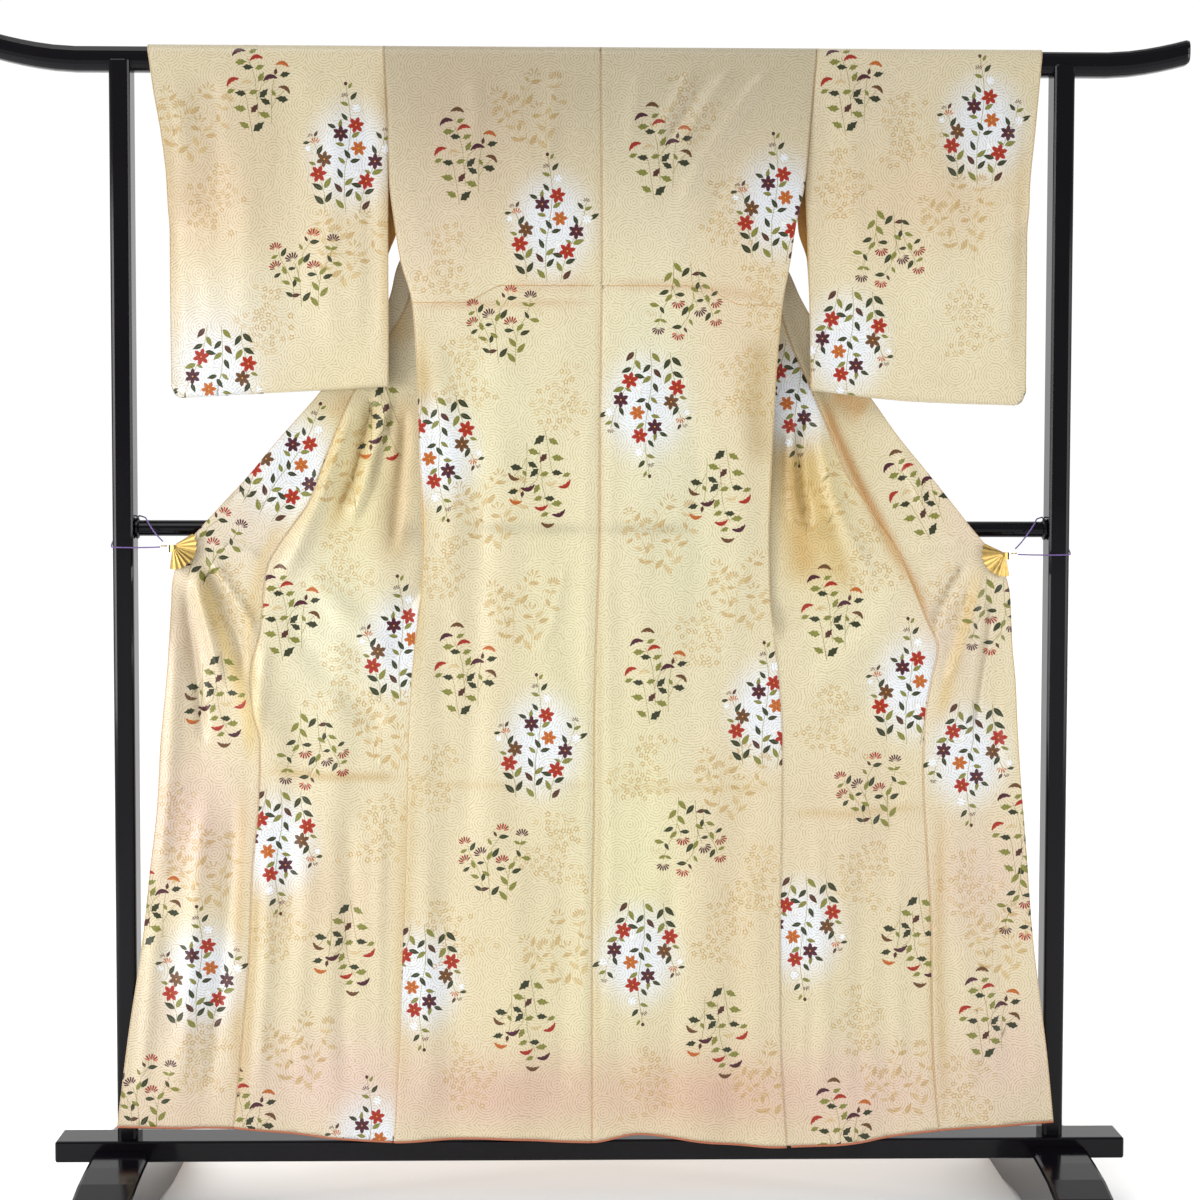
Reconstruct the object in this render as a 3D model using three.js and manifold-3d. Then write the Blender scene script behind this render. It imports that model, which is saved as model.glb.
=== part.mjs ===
// Komon kimono shown open from the back on a lacquered kimono stand.
// Millimetres, +Z up. The garment's back faces -Y; the stand's soles are at z = 0.
import * as THREE from 'three';
import Module from 'manifold-3d';

const wasm = await Module();
wasm.setup();

// ---------------------------------------------------------------- sizes
const WALL = 1.6;          // lined silk, outer cloth and lining together
const SEAM = 0.3;          // gap between pieces that are sewn to each other
const EASE = 1.2;          // air between the cloth and the bar
const NECK = 77;           // half of the neck opening
const BAR = { top: 1695.4, tall: 36, deep: 38, round: 13.5, half: 857, rise: 19, bend: 118 };
const POST = { x: 675, wide: 30, deep: 50, round: 6, cheek: 1675 };
const CROSS = { z: 1008.3, d: 23, boss: 31, bossLong: 5 };
const BOARD = { long: 1556, deep: 68, top: 120, thick: 31 };
const FOOT = { wide: 84, half: 300, lip: 104.5, arch: 12 };
const FAN = { r0: 5, r1: 34, ribs: 9, span: 125, thick: 1.2, pleat: 1.1 };
const CORD = 2.0;

// ---------------------------------------------------------------- tables
// Back panels. z, side seam, centre seam (x), depth of the cloth.
const BACK = {
  cols: ['z', 'sideL', 'sideR', 'mid', 'y'],
  rows: [
    [1697, 300, 319.5, 9.6, -21], [1659, 298, 316, 9.8, -21.4], [1590, 294.5, 309.8, 10.4, -23.5],
    [1502, 292, 302, 11.2, -25.5], [1445, 285, 290, 11.5, -26.3], [1392, 276.5, 282, 11.8, -27],
    [1332, 260, 271.3, 11.6, -27.6], [1255, 254, 264.6, 10.6, -28.4], [1136, 250, 258, 9.3, -30],
    [996, 244.5, 253.2, 9, -32.2], [914, 248, 255.1, 6.5, -33.4], [833, 257.7, 264.2, 3.8, -34.4],
    [704, 266.6, 273.7, 1.6, -36], [617, 268.2, 274.2, 1.8, -37], [449, 273, 272.3, -0.8, -38.8],
    [280, 279, 273.4, -0.5, -40.4], [110, 288.5, 283.2, -0.2, -41.6]],
};
// Front panels: side seam, first run behind the back and its heading (0 inward,
// 180 outward), the overlap seam, the front edge, and the depth at each.
const FRONT = {
  cols: ['z', 'side', 'run', 'head', 'bend', 'seam', 'edge', 'ySide', 'yTurn', 'ySeam', 'yEdge', 'step'],
  left: [
    [1659, 300, 218, 0, 5, 78, 78, 21, 21, 22, 22, 0],
    [1625, 297, 214, 0, 8, 86, 88, 20.5, 20.5, 26, 26, 0],
    [1553, 289, 196, 0, 11, 132, 136, 18.5, 18, 26, 26, 0],
    [1490, 277.5, 153, 0, 12.6, 200, 207, 15.5, 15, 24, 24.5, 0],
    [1430, 272, 130, 0, 12.6, 244, 258, -2, 11, 20.5, 21, 0],
    [1385, 270, 127, 0, 12.6, 258, 284, -18, 7.5, 17.5, 18.5, 0],
    [1342, 261, 121, 0, 12.6, 266, 294.5, -25, 5, 15.8, 16.5, 0],
    [1270, 255, 99, 0, 12.6, 306, 345, -26, 3, 15, 15.5, 0],
    [1198, 252, 76, 0, 12.6, 350, 401, -26.8, -3, 12, 13, 0],
    [1131, 250, 61, 0, 12.6, 377, 459, -27.8, -13, -1, 1, 1],
    [1087, 248.5, 52, 0, 12.6, 394, 494, -28.5, -18, -8, -7, 3],
    [1048, 247, 45, 0, 12.6, 407, 529, -29, -23, -17.5, -17.5, 3.5],
    [1013, 245.5, 33, 0, 12.6, 431, 560, -29.6, -25.8, -22.5, -23.5, 2],
    [983, 245, 22, 0, 12.6, 452, 585, -30, -27.2, -24.5, -27, 2],
    [955, 245, 13, 0, 11, 467, 598, -30.4, -28.4, -26, -28, 2],
    [926, 246.5, 8, 30, 9, 472, 604.5, -30.8, -29.6, -27, -28.8, 2],
    [900, 249, 8, 120, 8, 474, 606, -31.4, -31, -29, -29.4, 1.5],
    [864, 253.5, 10, 176, 6, 478, 608, -31.9, -31.9, -30, -29.8, 1],
    [794, 261, 10, 178, 6, 492, 612.5, -32.8, -32.8, -30.5, -30.6, 0.6],
    [739, 265, 10, 178, 6, 486.5, 618, -33.4, -33.4, -31.5, -31.4, 0.6],
    [704, 266.6, 10, 178, 6, 478.5, 621.6, -33.8, -33.8, -32, -31.8, 0.6],
    [616, 268.2, 10, 178, 6, 481, 626.6, -34.8, -34.8, -33, -32.6, 0.6],
    [508, 271.5, 10, 178, 6, 491, 639, -36, -36, -34, -33.4, 0.6],
    [410, 274.5, 10, 178, 6, 495, 650, -37, -37, -35.4, -34, 0.6],
    [284, 279, 10, 178, 6, 505, 669.5, -38.2, -38.2, -37, -35, 0.6],
    [110, 288.5, 10, 178, 6, 522, 692, -39.4, -39.4, -39.4, -37.6, 0.6]],
  right: [
    [1659, 319, 237, 0, 5, 78, 78, 21, 21, 22, 22, 0],
    [1625, 314, 231, 0, 8, 86, 88, 20.5, 20.5, 26, 26, 0],
    [1553, 304, 210, 0, 11, 134, 138, 18.5, 18, 26, 26, 0],
    [1490, 290, 167, 0, 12.6, 190, 197, 15.5, 15, 24, 24.5, 0],
    [1430, 283, 146, 0, 12.6, 228, 242, -2, 11, 20.5, 21, 0],
    [1385, 279, 135, 0, 12.6, 254, 282, -18, 7.5, 17.5, 18.5, 2],
    [1342, 271.8, 122, 0, 12.6, 266, 302, -25, 5, 14.5, 16.5, 3],
    [1270, 265, 109, 0, 12.6, 290, 348, -26, 3, 12, 15.5, 5],
    [1198, 261, 95, 0, 12.6, 322, 405, -26.8, -4, 7, 13, 9],
    [1146, 258.5, 82, 0, 12.6, 343, 441, -27.6, -11, -4, 3.5, 12],
    [1088, 256.5, 70, 0, 12.6, 366, 487, -28.5, -18, -15, -7, 13],
    [1048, 255, 55, 0, 12.6, 393, 518, -29, -22.5, -22, -17, 7],
    [1013, 253.6, 43, 0, 12.6, 417, 545, -29.6, -25.6, -26, -23.5, 3.5],
    [983, 253.3, 32, 0, 12.6, 437, 570, -30, -27.2, -27, -27, 3],
    [955, 253.6, 22, 0, 11, 450, 591, -30.4, -28.4, -27, -28, 4],
    [914, 255, 12, 0, 9, 467, 603, -31, -30, -29, -28.8, 3],
    [880, 258, 8, 60, 8, 481, 605.5, -31.5, -31, -30.5, -29.4, 2],
    [837, 264, 8, 176, 6, 498.5, 608, -32.2, -32.2, -31.5, -29.8, 1.2],
    [790, 267.8, 10, 178, 6, 489, 612.5, -32.8, -32.8, -31.8, -30.6, 0.8],
    [723, 273, 10, 178, 6, 479.5, 616, -33.6, -33.6, -32.4, -31.4, 0.6],
    [662, 274, 10, 178, 6, 478.5, 620, -34.4, -34.4, -33, -32.2, 0.6],
    [527, 273, 10, 178, 6, 486, 631.5, -35.8, -35.8, -34.4, -33.4, 0.6],
    [429, 272.4, 10, 178, 6, 492, 639.5, -36.8, -36.8, -35.4, -34.2, 0.6],
    [330, 272.8, 10, 178, 6, 493.5, 651.5, -37.8, -37.8, -36.6, -35, 0.6],
    [250, 274.6, 10, 178, 6, 495.8, 662.3, -38.4, -38.4, -37.4, -35.6, 0.6],
    [110, 283.3, 10, 178, 6, 508, 677, -39.4, -39.4, -39.4, -37.8, 0.6]],
};
// Hem line: x, z.
const HEM = [[-700, 144], [-522, 142.6], [-503, 141], [-337, 124.2], [-288, 121.3], [-153, 126.4],
  [0, 120.2], [66, 131], [180, 118], [268, 111.4], [346, 113.8], [497, 133.8], [680, 146.6]];
// Sleeves: z, cuff edge, inner edge of the back layer, inner edge of the front layer.
const SLEEVE = {
  cols: ['z', 'out', 'inBack', 'inFront'],
  left: [[1697, 635.5, 300.3, 300.3], [1631, 627, 297, 297.5], [1575, 617.5, 294.3, 292], [1500, 609.5, 293.6, 280],
    [1440, 607.8, 294, 283], [1395, 607.6, 294, 297], [1300, 607.4, 294, 299], [1210, 606.4, 294.6, 294.6]],
  right: [[1697, 643, 319.9, 319.4], [1631, 638, 314, 314.5], [1581, 634, 309.6, 308], [1490, 627, 304, 294],
    [1440, 626.8, 306.5, 297], [1395, 626.8, 308.5, 310], [1300, 626.8, 312, 314], [1205, 626.8, 314.8, 314.8]],
  bottomL: [[0, 1213], [0.5, 1204], [1, 1195]],
  bottomR: [[0, 1209], [0.5, 1193], [1, 1188]],
};
// Largest folds, as ridges (+, towards -Y) and troughs (-) along a line. x0 z0 x1 z1 width height
const BACK_FOLDS = [
  [-215, 930, -205, 110, 30, -4.5], [-140, 800, -128, 110, 34, 3.5], [-62, 980, -40, 520, 26, 2.2],
  [150, 860, 160, 110, 34, 3.6], [215, 900, 212, 110, 28, -4.2], [75, 700, 66, 110, 26, -2.6],
  [215, 1640, 70, 1480, 22, 2.4]];
const SIDE_FOLDS = [
  [-592, 955, -480, 740, 20, 7], [-600, 915, -560, 640, 22, -5], [-330, 1140, -300, 900, 26, 5],
  [-365, 900, -375, 110, 30, 4], [-430, 760, -428, 110, 28, -4], [-560, 560, -600, 110, 30, 4],
  [583, 945, 520, 760, 20, 7], [597, 900, 585, 640, 22, -5], [330, 1120, 345, 880, 28, 5],
  [370, 820, 372, 110, 30, 4], [430, 760, 436, 110, 26, -4], [570, 560, 590, 110, 30, 4]];

// ---------------------------------------------------------------- helpers
// Monotone cubic through table rows, for each named column.
function curve(xs, ys) {
  if (xs[0] > xs[xs.length - 1]) { xs = [...xs].reverse(); ys = [...ys].reverse(); }
  const n = xs.length, h = [], d = [], m = [];
  for (let i = 0; i < n - 1; i++) { h[i] = xs[i + 1] - xs[i]; d[i] = (ys[i + 1] - ys[i]) / h[i]; }
  m[0] = d[0]; m[n - 1] = d[n - 2];
  for (let i = 1; i < n - 1; i++) {
    if (d[i - 1] * d[i] <= 0) { m[i] = 0; continue; }
    const a = 2 * h[i] + h[i - 1], b = h[i] + 2 * h[i - 1];
    m[i] = (a + b) / (a / d[i - 1] + b / d[i]);
  }
  return (x) => {
    x = Math.min(xs[n - 1], Math.max(xs[0], x));
    let i = 0; while (i < n - 2 && x > xs[i + 1]) i++;
    const t = (x - xs[i]) / h[i], u = 1 - t;
    return ys[i] * (1 + 2 * t) * u * u + ys[i + 1] * t * t * (3 - 2 * t) + h[i] * t * u * (m[i] * u - m[i + 1] * t);
  };
}
function table(cols, rows) {
  const out = {};
  cols.slice(1).forEach((name, k) => { out[name] = curve(rows.map((r) => r[0]), rows.map((r) => r[k + 1])); });
  return out;
}
const mix = (a, b, t) => a + (b - a) * t;
const soft = (a, b, x) => { const t = Math.min(1, Math.max(0, (x - a) / (b - a))); return t * t * (3 - 2 * t); };
const V = (x, y, z) => new THREE.Vector3(x, y, z);
function folds(list, x, z) {
  let y = 0;
  for (const [x0, z0, x1, z1, w, a] of list) {
    const dx = x1 - x0, dz = z1 - z0, len = Math.hypot(dx, dz);
    const t = ((x - x0) * dx + (z - z0) * dz) / (len * len);
    const off = ((x - x0) * dz - (z - z0) * dx) / len;
    const open = mix(0.55, 1.25, Math.min(1, Math.max(0, t)));
    y -= a * soft(-0.12, 0.18, t) * soft(1.12 + 0.4, 0.95, t) * Math.exp(-((off / (w * open)) ** 2));
  }
  return y;
}
const back = table(BACK.cols, BACK.rows);
const front = { '-1': table(FRONT.cols, FRONT.left), 1: table(FRONT.cols, FRONT.right) };
const sleeve = { '-1': table(SLEEVE.cols, SLEEVE.left), 1: table(SLEEVE.cols, SLEEVE.right) };
const hem = curve(HEM.map((r) => r[0]), HEM.map((r) => r[1]));
const low = { '-1': curve(SLEEVE.bottomL.map((r) => r[0]), SLEEVE.bottomL.map((r) => r[1])), 1: curve(SLEEVE.bottomR.map((r) => r[0]), SLEEVE.bottomR.map((r) => r[1])) };

function mesh(name, pos, tri, mat) {
  const p = [], lim = tri.length;
  let vol = 0;
  for (let k = 0; k < lim; k++) {
    const [a, b, c] = tri[k].map((i) => pos[i]);
    vol += a.dot(V(0, 0, 0).crossVectors(b, c));
  }
  for (const q of pos) p.push(q.x, q.y, q.z);
  const idx = [];
  for (const [a, b, c] of tri) vol > 0 ? idx.push(a, b, c) : idx.push(a, c, b);
  const g = new THREE.BufferGeometry();
  g.setAttribute('position', new THREE.Float32BufferAttribute(p, 3));
  g.setIndex(idx);
  const m = new THREE.Mesh(g, mat); m.name = name;
  return m;
}
// A wall of the given thickness about a grid of points [row][col]; loop closes the columns into a ring.
function wall(name, grid, thick, mat, loop = false) {
  const nv = grid.length, nu = grid[0].length, at = (j, i) => grid[j][loop ? (i + nu) % nu : i];
  const outer = [], inner = [];
  for (let j = 0; j < nv; j++) for (let i = 0; i < nu; i++) {
    const i0 = loop ? i - 1 : Math.max(0, i - 1), i1 = loop ? i + 1 : Math.min(nu - 1, i + 1);
    const a = at(j, i1).clone().sub(at(j, i)), b = at(j, i).clone().sub(at(j, i0));
    if (a.lengthSq() > 0) a.normalize(); if (b.lengthSq() > 0) b.normalize();
    const du = a.add(b), dv = at(Math.min(nv - 1, j + 1), i).clone().sub(at(Math.max(0, j - 1), i));
    const n = V(0, 0, 0).crossVectors(du, dv).normalize().multiplyScalar(thick / 2);
    outer.push(at(j, i).clone().add(n)); inner.push(at(j, i).clone().sub(n));
  }
  const N = nv * nu, pos = [...outer, ...inner], tri = [], id = (j, i) => j * nu + (loop ? (i + nu) % nu : i);
  const quad = (a, b, c, d) => { tri.push([a, b, c], [a, c, d]); };
  for (let j = 0; j < nv - 1; j++) for (let i = 0; i < (loop ? nu : nu - 1); i++) {
    quad(id(j, i), id(j, i + 1), id(j + 1, i + 1), id(j + 1, i));
    quad(N + id(j, i), N + id(j + 1, i), N + id(j + 1, i + 1), N + id(j, i + 1));
  }
  for (let i = 0; i < (loop ? nu : nu - 1); i++) {
    quad(id(0, i + 1), id(0, i), N + id(0, i), N + id(0, i + 1));
    quad(id(nv - 1, i), id(nv - 1, i + 1), N + id(nv - 1, i + 1), N + id(nv - 1, i));
  }
  if (!loop) for (let j = 0; j < nv - 1; j++) {
    quad(id(j, 0), id(j + 1, 0), N + id(j + 1, 0), N + id(j, 0));
    quad(id(j + 1, nu - 1), id(j, nu - 1), N + id(j, nu - 1), N + id(j + 1, nu - 1));
  }
  return mesh(name, pos, tri, mat);
}
function solid(m) {
  const p = m.geometry.attributes.position.array, i = m.geometry.index.array;
  return new wasm.Manifold(new wasm.Mesh({ numProp: 3, vertProperties: new Float32Array(p), triVerts: new Uint32Array(i) }));
}
function fromSolid(name, body, mat) {
  const g = new THREE.BufferGeometry(), r = body.getMesh();
  g.setAttribute('position', new THREE.Float32BufferAttribute(r.vertProperties, 3));
  g.setIndex([...r.triVerts]);
  const m = new THREE.Mesh(g, mat); m.name = name; return m;
}
const std = (color, roughness, metalness = 0) => new THREE.MeshStandardMaterial({ color, roughness, metalness });
const silk = std('#efe2bf', 0.5), lining = std('#d59a45', 0.55), lacquer = std('#0b0a0c', 0.12), gold = std('#c9a24a', 0.3, 1), purple = std('#5b4a74', 0.7);

// Cloth mid-line over the bar: side -1 hangs at the front (-Y), +1 at the rear. t runs 0 at the crest to 1.
const REACH = BAR.deep / 2 + EASE + WALL / 2, CREST = BAR.top + EASE + WALL / 2;
const TURN = BAR.round + EASE + WALL / 2;
function overBar(side, deg, flat) {
  if (deg <= 0) return [side * mix(SEAM / 2, BAR.deep / 2 - BAR.round, flat), CREST];
  const a = deg * Math.PI / 180;
  return [side * (BAR.deep / 2 - BAR.round + TURN * Math.sin(a)), BAR.top - BAR.round + TURN * Math.cos(a)];
}
const OVER = [[0, 0], [0, 1], [30, 1], [60, 1], [90, 1]];
const DOWN = BAR.top - BAR.round;   // where the cloth leaves the bar's corner

// ---------------------------------------------------------------- back panels
function backPoint(s, f, zf) {      // s -1 left, 1 right; f 0 at the side seam, 1 at the centre
  const zEnd = hem(mix(s * 283, 0, f)), z = zf <= 0 ? DOWN : mix(DOWN, zEnd, zf);
  const side = s * (s < 0 ? back.sideL(z) : back.sideR(z)), mid = back.mid(z) + s * SEAM / 2;
  const x = mix(side, mid, f), ax = Math.abs(x - side);
  const y = back.y(z) + folds(BACK_FOLDS, x, z) * soft(0, 45, ax) * soft(DOWN, DOWN - 60, z);
  return V(x, y, z);
}
function backPanel(s, name) {
  const cols = [0, 0.09, 0.2, 0.31, 0.42, 0.53, 0.64, 0.75, 0.87, 1];
  const rows = [0.03, 0.085, 0.15, 0.22, 0.29, 0.36, 0.43, 0.5, 0.565, 0.63, 0.7, 0.78, 0.86, 0.93, 1];
  const grid = OVER.map(([deg, flat]) => cols.map((f) => { const [y, z] = overBar(-1, deg, flat), p = backPoint(s, f, 0); return V(p.x, y, z); }));
  for (const r of rows) grid.push(cols.map((f) => backPoint(s, f, r)));
  return wall(name, grid, WALL, silk);
}

// ---------------------------------------------------------------- front panels and overlaps
// Plan of one level, from the side seam: a run, a bend, then outward to the overlap seam.
function frontPoint(s, z, leg, t) {   // leg 0 run, 1 bend, 2 outward
  const T = front[s], run = T.run(z), head = T.head(z) * Math.PI / 180, len = T.bend(z), phi = Math.PI - head, r = len / Math.max(phi, 1e-3);
  const x0 = T.side(z) - (head > 1.6 ? -SEAM - 0 : 0), y0 = T.ySide(z), y1 = T.yTurn(z);
  let x, y;
  const ex = x0 - run * Math.cos(head), ey = y0 + (y1 - y0) + run * Math.sin(head);
  if (leg === 0) { x = mix(x0, ex, t); y = mix(y0, ey, t); } else {
    const a = head + phi * (leg === 1 ? t : 1);
    x = ex - r * (Math.sin(a) - Math.sin(head)); y = ey - r * (Math.cos(a) - Math.cos(head));
    if (leg === 2) {
      x = mix(x, T.seam(z), t);
      y = mix(y, T.ySeam(z), t);
    }
  }
  if (leg === 2) y += sideFold(s * x, z) * soft(0, 0.25, t);
  return V(s * x, y, z);
}
function sideFold(x, z) { return folds(SIDE_FOLDS, x, z) * soft(1150, 1040, z); }
function overlapPoint(s, z, t) {
  const T = front[s], a = T.seam(z) + SEAM + 0.07 * T.step(z) + 0.9 * soft(1360, 1470, z), b = T.edge(z), x = mix(a, b, t);
  const y = mix(T.ySeam(z), T.yEdge(z), t) + T.step(z) * soft(0, 20, x - a) * soft(1, 0.35, t);
  return V(s * x, y + sideFold(s * x, z), z);
}
const LEVELS = [1625, 1590, 1553, 1520, 1490, 1460, 1430, 1385, 1342, 1270, 1198, 1131, 1087, 1048, 1013, 983, 955, 926, 900, 864, 794, 704, 600, 480, 360, 240];
function frontPanel(s, name) {
  const grid = [], plan = [[0, 0], [0, 0.34], [0, 0.67], [0, 0.95], [1, 0.33], [1, 0.67], [2, 0.03], [2, 0.2], [2, 0.36], [2, 0.52], [2, 0.68], [2, 0.84], [2, 1]];
  const span = plan.length - 1;
  const neckX = (k, z) => mix(s * (s < 0 ? back.sideL(z) : back.sideR(z)), s * NECK, k / span);
  for (const [deg, flat] of OVER) { const [y, z] = overBar(1, deg, flat); grid.push(plan.map((_, k) => V(neckX(k, DOWN), y, z))); }
  grid.push(plan.map((_, k) => V(neckX(k, 1668), REACH, 1662)));
  for (const z of LEVELS) grid.push(plan.map(([leg, t]) => frontPoint(s, z, leg, t)));
  grid.push(plan.map(([leg, t]) => { const p = frontPoint(s, 120, leg, t); return frontPoint(s, hem(p.x), leg, t); }));
  return wall(name, grid, WALL, silk);
}
const OVERLAP_TOP = 1496;
function overlap(s, name) {
  const cols = [0, 0.16, 0.38, 0.6, 0.8, 1], grid = [];
  for (const z of [OVERLAP_TOP, ...LEVELS.filter((v) => v < OVERLAP_TOP - 20)]) grid.push(cols.map((t) => overlapPoint(s, z, t)));
  grid.push(cols.map((t) => { const p = overlapPoint(s, 120, t); return overlapPoint(s, hem(p.x), t); }));
  return wall(name, grid, WALL, silk);
}

// ---------------------------------------------------------------- piped hem
const ROLL = 3;
function hemRoll(name, points) {
  const grid = [0, 1].map((k) => points.map((p) => V(p.x, p.y, p.z - SEAM - k * ROLL)));
  return wall(name, grid, ROLL, lining);
}

// ---------------------------------------------------------------- sleeves
const HALF = { cols: ['z', 'mid', 'half'], rows: [[1697, 0, REACH], [1659, 0, REACH], [1600, -0.5, 19.5], [1500, -1.5, 17], [1400, -2.5, 13.5], [1300, -4, 10.5], [1230, -5, 8.2], [1180, -5, 7]] };
const gusset = table(HALF.cols, HALF.rows);
function sleevePoint(s, leg, t, u) {   // leg 0 rear layer upward, 1 over the bar, 2 back layer downward, 3 round the bottom
  const S = sleeve[s], lowZ = low[s](u) + 20 * (1 - Math.sqrt(1 - Math.max(0, (u - 0.945) / 0.0551) ** 2));
  let y, z, layer;
  const half = (zz) => mix(gusset.half(zz), 1.9, soft(0.8, 1, u) * soft(1480, 1430, zz));
  if (leg === 1) { const a = Math.abs(t); [y, z] = overBar(Math.sign(t) || 1, a <= 1 ? 0 : (a - 1) * 90, a <= 1 ? a : 1); if (a <= 1) y = t * (BAR.deep / 2 - BAR.round); layer = mix(0.5, 1, Math.sign(t) * Math.min(1, a)) ; layer = t > 0 ? 1 : t < 0 ? 0 : 0.5; }
  else if (leg === 3) {
    const r = half(lowZ), a = t * Math.PI / 2;      // t -1 front of the bottom, 0 lowest, 1 rear
    y = gusset.mid(lowZ) + r * Math.sin(a); z = lowZ + r * (1 - Math.cos(a)); layer = (t + 1) / 2;
  } else {
    const r = half(lowZ), z0 = lowZ + r; z = mix(z0, 1668, t); layer = leg === 0 ? 1 : 0;
    y = gusset.mid(z) + (layer ? 1 : -1) * half(z) + (layer ? 0 : 1) * 1.6 * Math.sin(u * 9 + s) * soft(1640, 1450, z) * soft(1, 0.8, u);
  }
  const rear = mix(S.inFront(z), front[s].side(z) + 0.8, soft(1462, 1500, z) * soft(1655, 1640, z));
  const inn = mix(S.inBack(z), z > 1655 ? S.inBack(z) : rear, layer);
  return V(s * mix(inn, S.out(z), u), y, z);
}

function sleevePanel(s, name) {
  const us = [0, 0.1, 0.25, 0.42, 0.6, 0.78, 0.9, 0.955, 0.985, 1], ring = [];
  for (const t of [-0.95, -0.45, 0, 0.45, 0.95]) ring.push([3, t]);
  for (const t of [0.1, 0.28, 0.46, 0.62, 0.76, 0.88, 1]) ring.push([0, t]);
  for (const t of [2, 1.67, 1.33, 1, -1, -1.33, -1.67, -2]) ring.push([1, t]);
  for (const t of [1, 0.88, 0.76, 0.62, 0.46, 0.28, 0.1]) ring.push([2, t]);
  return wall(name, us.map((u) => ring.map(([leg, t]) => sleevePoint(s, leg, t, u))), WALL, silk, true);
}

// ---------------------------------------------------------------- collar band
const BAND = 3;
function outerY(s, ax, z) {            // depth of the front or overlap at |x|
  const T = front[s];
  if (z > 1640) return REACH;
  if (ax >= T.seam(z)) { const t = (ax - T.seam(z)) / Math.max(1, T.edge(z) - T.seam(z)); return overlapPoint(s, z, Math.min(1, Math.max(0, t))).y; }
  const a = frontPoint(s, z, 2, 0), b = frontPoint(s, z, 2, 1), t = (ax - Math.abs(a.x)) / (Math.abs(b.x) - Math.abs(a.x));
  return frontPoint(s, z, 2, Math.min(1, Math.max(0, t))).y;
}
function collar(name) {
  const side = (s) => {
    const zs = [990, 1013, 1048, 1087, 1131, 1165, 1198, 1234, 1270, 1306, 1342, 1385, 1430, 1490, 1553, 1600, 1640];
    return zs.map((z) => {
      const T = front[s], e = (q) => (q > 1640 ? NECK : T.edge(q)), dx = e(z + 12) - e(z - 12), l = Math.hypot(dx, 24);
      const nx = -24 / l, nz = dx / l, wide = mix(72, 56, soft(983, 1600, z));   // across the band, towards the garment
      return [0, 0.2, 0.4, 0.6, 0.8, 1].map((k) => {
        const ax = e(z) - 1.2 + nx * wide * k, zz = z + nz * wide * k;
        return V(s * ax, outerY(s, Math.max(ax, 0), Math.min(zz, 1640)) + WALL / 2 + 1.7 + BAND / 2 + 1.2 * k, zz);
      });
    });
  };
  const off = EASE + BAND / 2 + 0.5, turn = BAR.round + off, flat = BAR.deep / 2 - BAR.round;
  const top = (x, ang) => {            // over the crest and down behind the bar, turned at the neck corners
    const arc = (deg) => [flat + turn * Math.sin(deg * Math.PI / 180), BAR.top - BAR.round + turn * Math.cos(deg * Math.PI / 180)];
    const line = [[SEAM + 0.2, BAR.top + off], arc(0), arc(45), arc(90), [BAR.deep / 2 + off + 0.6, 1664], [BAR.deep / 2 + off + 2, 1646]];
    return line.map(([y, z], k) => V(x + ang * k * 2, y, z));
  };
  const ACROSS = [0, 0.2, 0.4, 0.6, 0.8, 1];
  // neck corner: x span, then depth and height at each of the six points across the band
  const CORNER = [
    [52, [24.2, 24.5, 24.8, 25.1, 25.4, 25.7], [1667, 1666, 1665, 1664, 1663, 1662]],
    [49, [23.1, 24.1, 24.8, 25.2, 25.6, 26], [1685, 1683, 1678, 1671.5, 1665, 1659.5]],
    [46, [18.4, 22.6, 24.3, 25.1, 25.6, 26], [1695.8, 1691, 1684, 1675.5, 1667, 1658]],
    [42, [7, 14.5, 21.4, 24.4, 25.4, 26], [1699.8, 1698.6, 1692.4, 1681, 1668, 1656]]];
  const corner = (s) => CORNER.map(([span, ys, zs]) => ACROSS.map((k, i) => V(s * (NECK - 1 - span * k), ys[i], zs[i])));
  const L = side(-1), R = side(1);
  const mid = [[-50, 2], [-25, 1.1], [0, 0], [25, -1.1], [50, -2]].map(([x, a]) => top(x, a));
  const grid = [...L, ...corner(-1), ...mid, ...corner(1).reverse(), ...R.reverse()];
  return wall(name, grid, BAND, silk);
}

// ---------------------------------------------------------------- stand
function rounded(w, h, r, k = 4) {
  const s = new THREE.Shape(), x = w / 2, y = h / 2;
  const pts = [];
  for (const [cx, cy, a0] of [[x - r, y - r, 0], [-x + r, y - r, 90], [-x + r, -y + r, 180], [x - r, -y + r, 270]]) {
    for (let i = 0; i <= k; i++) { const a = (a0 + 90 * i / k) * Math.PI / 180; pts.push(new THREE.Vector2(cx + r * Math.cos(a), cy + r * Math.sin(a))); }
  }
  s.setFromPoints(pts); return s;
}
function loft(name, rings, mat) {      // closed rings of equal count, capped flat at both ends
  const n = rings[0].length, pos = rings.flat(), tri = [], last = (rings.length - 1) * n;
  for (let j = 0; j < rings.length - 1; j++) for (let i = 0; i < n; i++) {
    const a = j * n + i, b = j * n + (i + 1) % n; tri.push([a, b, b + n], [a, b + n, a + n]);
  }
  for (let i = 1; i < n - 1; i++) { tri.push([0, i + 1, i]); tri.push([last, last + i, last + i + 1]); }
  return mesh(name, pos, tri, mat);
}
function topBar() {
  const shape = rounded(BAR.deep, BAR.tall, BAR.round, 4).getPoints();
  const xs = [-857, -853, -835, -815, -795, -770, -739, -700, 700, 739, 770, 795, 815, 835, 853, 857];
  return loft('top_bar', xs.map((x) => {
    const up = Math.max(0, Math.abs(x) - (BAR.half - BAR.bend)), rise = BAR.rise * (up / BAR.bend) ** 1.7;
    const k = Math.abs(x) > 856 ? 0.9 : 1;
    return shape.map((p) => V(x, p.x * k, BAR.top - BAR.tall / 2 + rise + p.y * k));
  }), lacquer);
}
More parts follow.
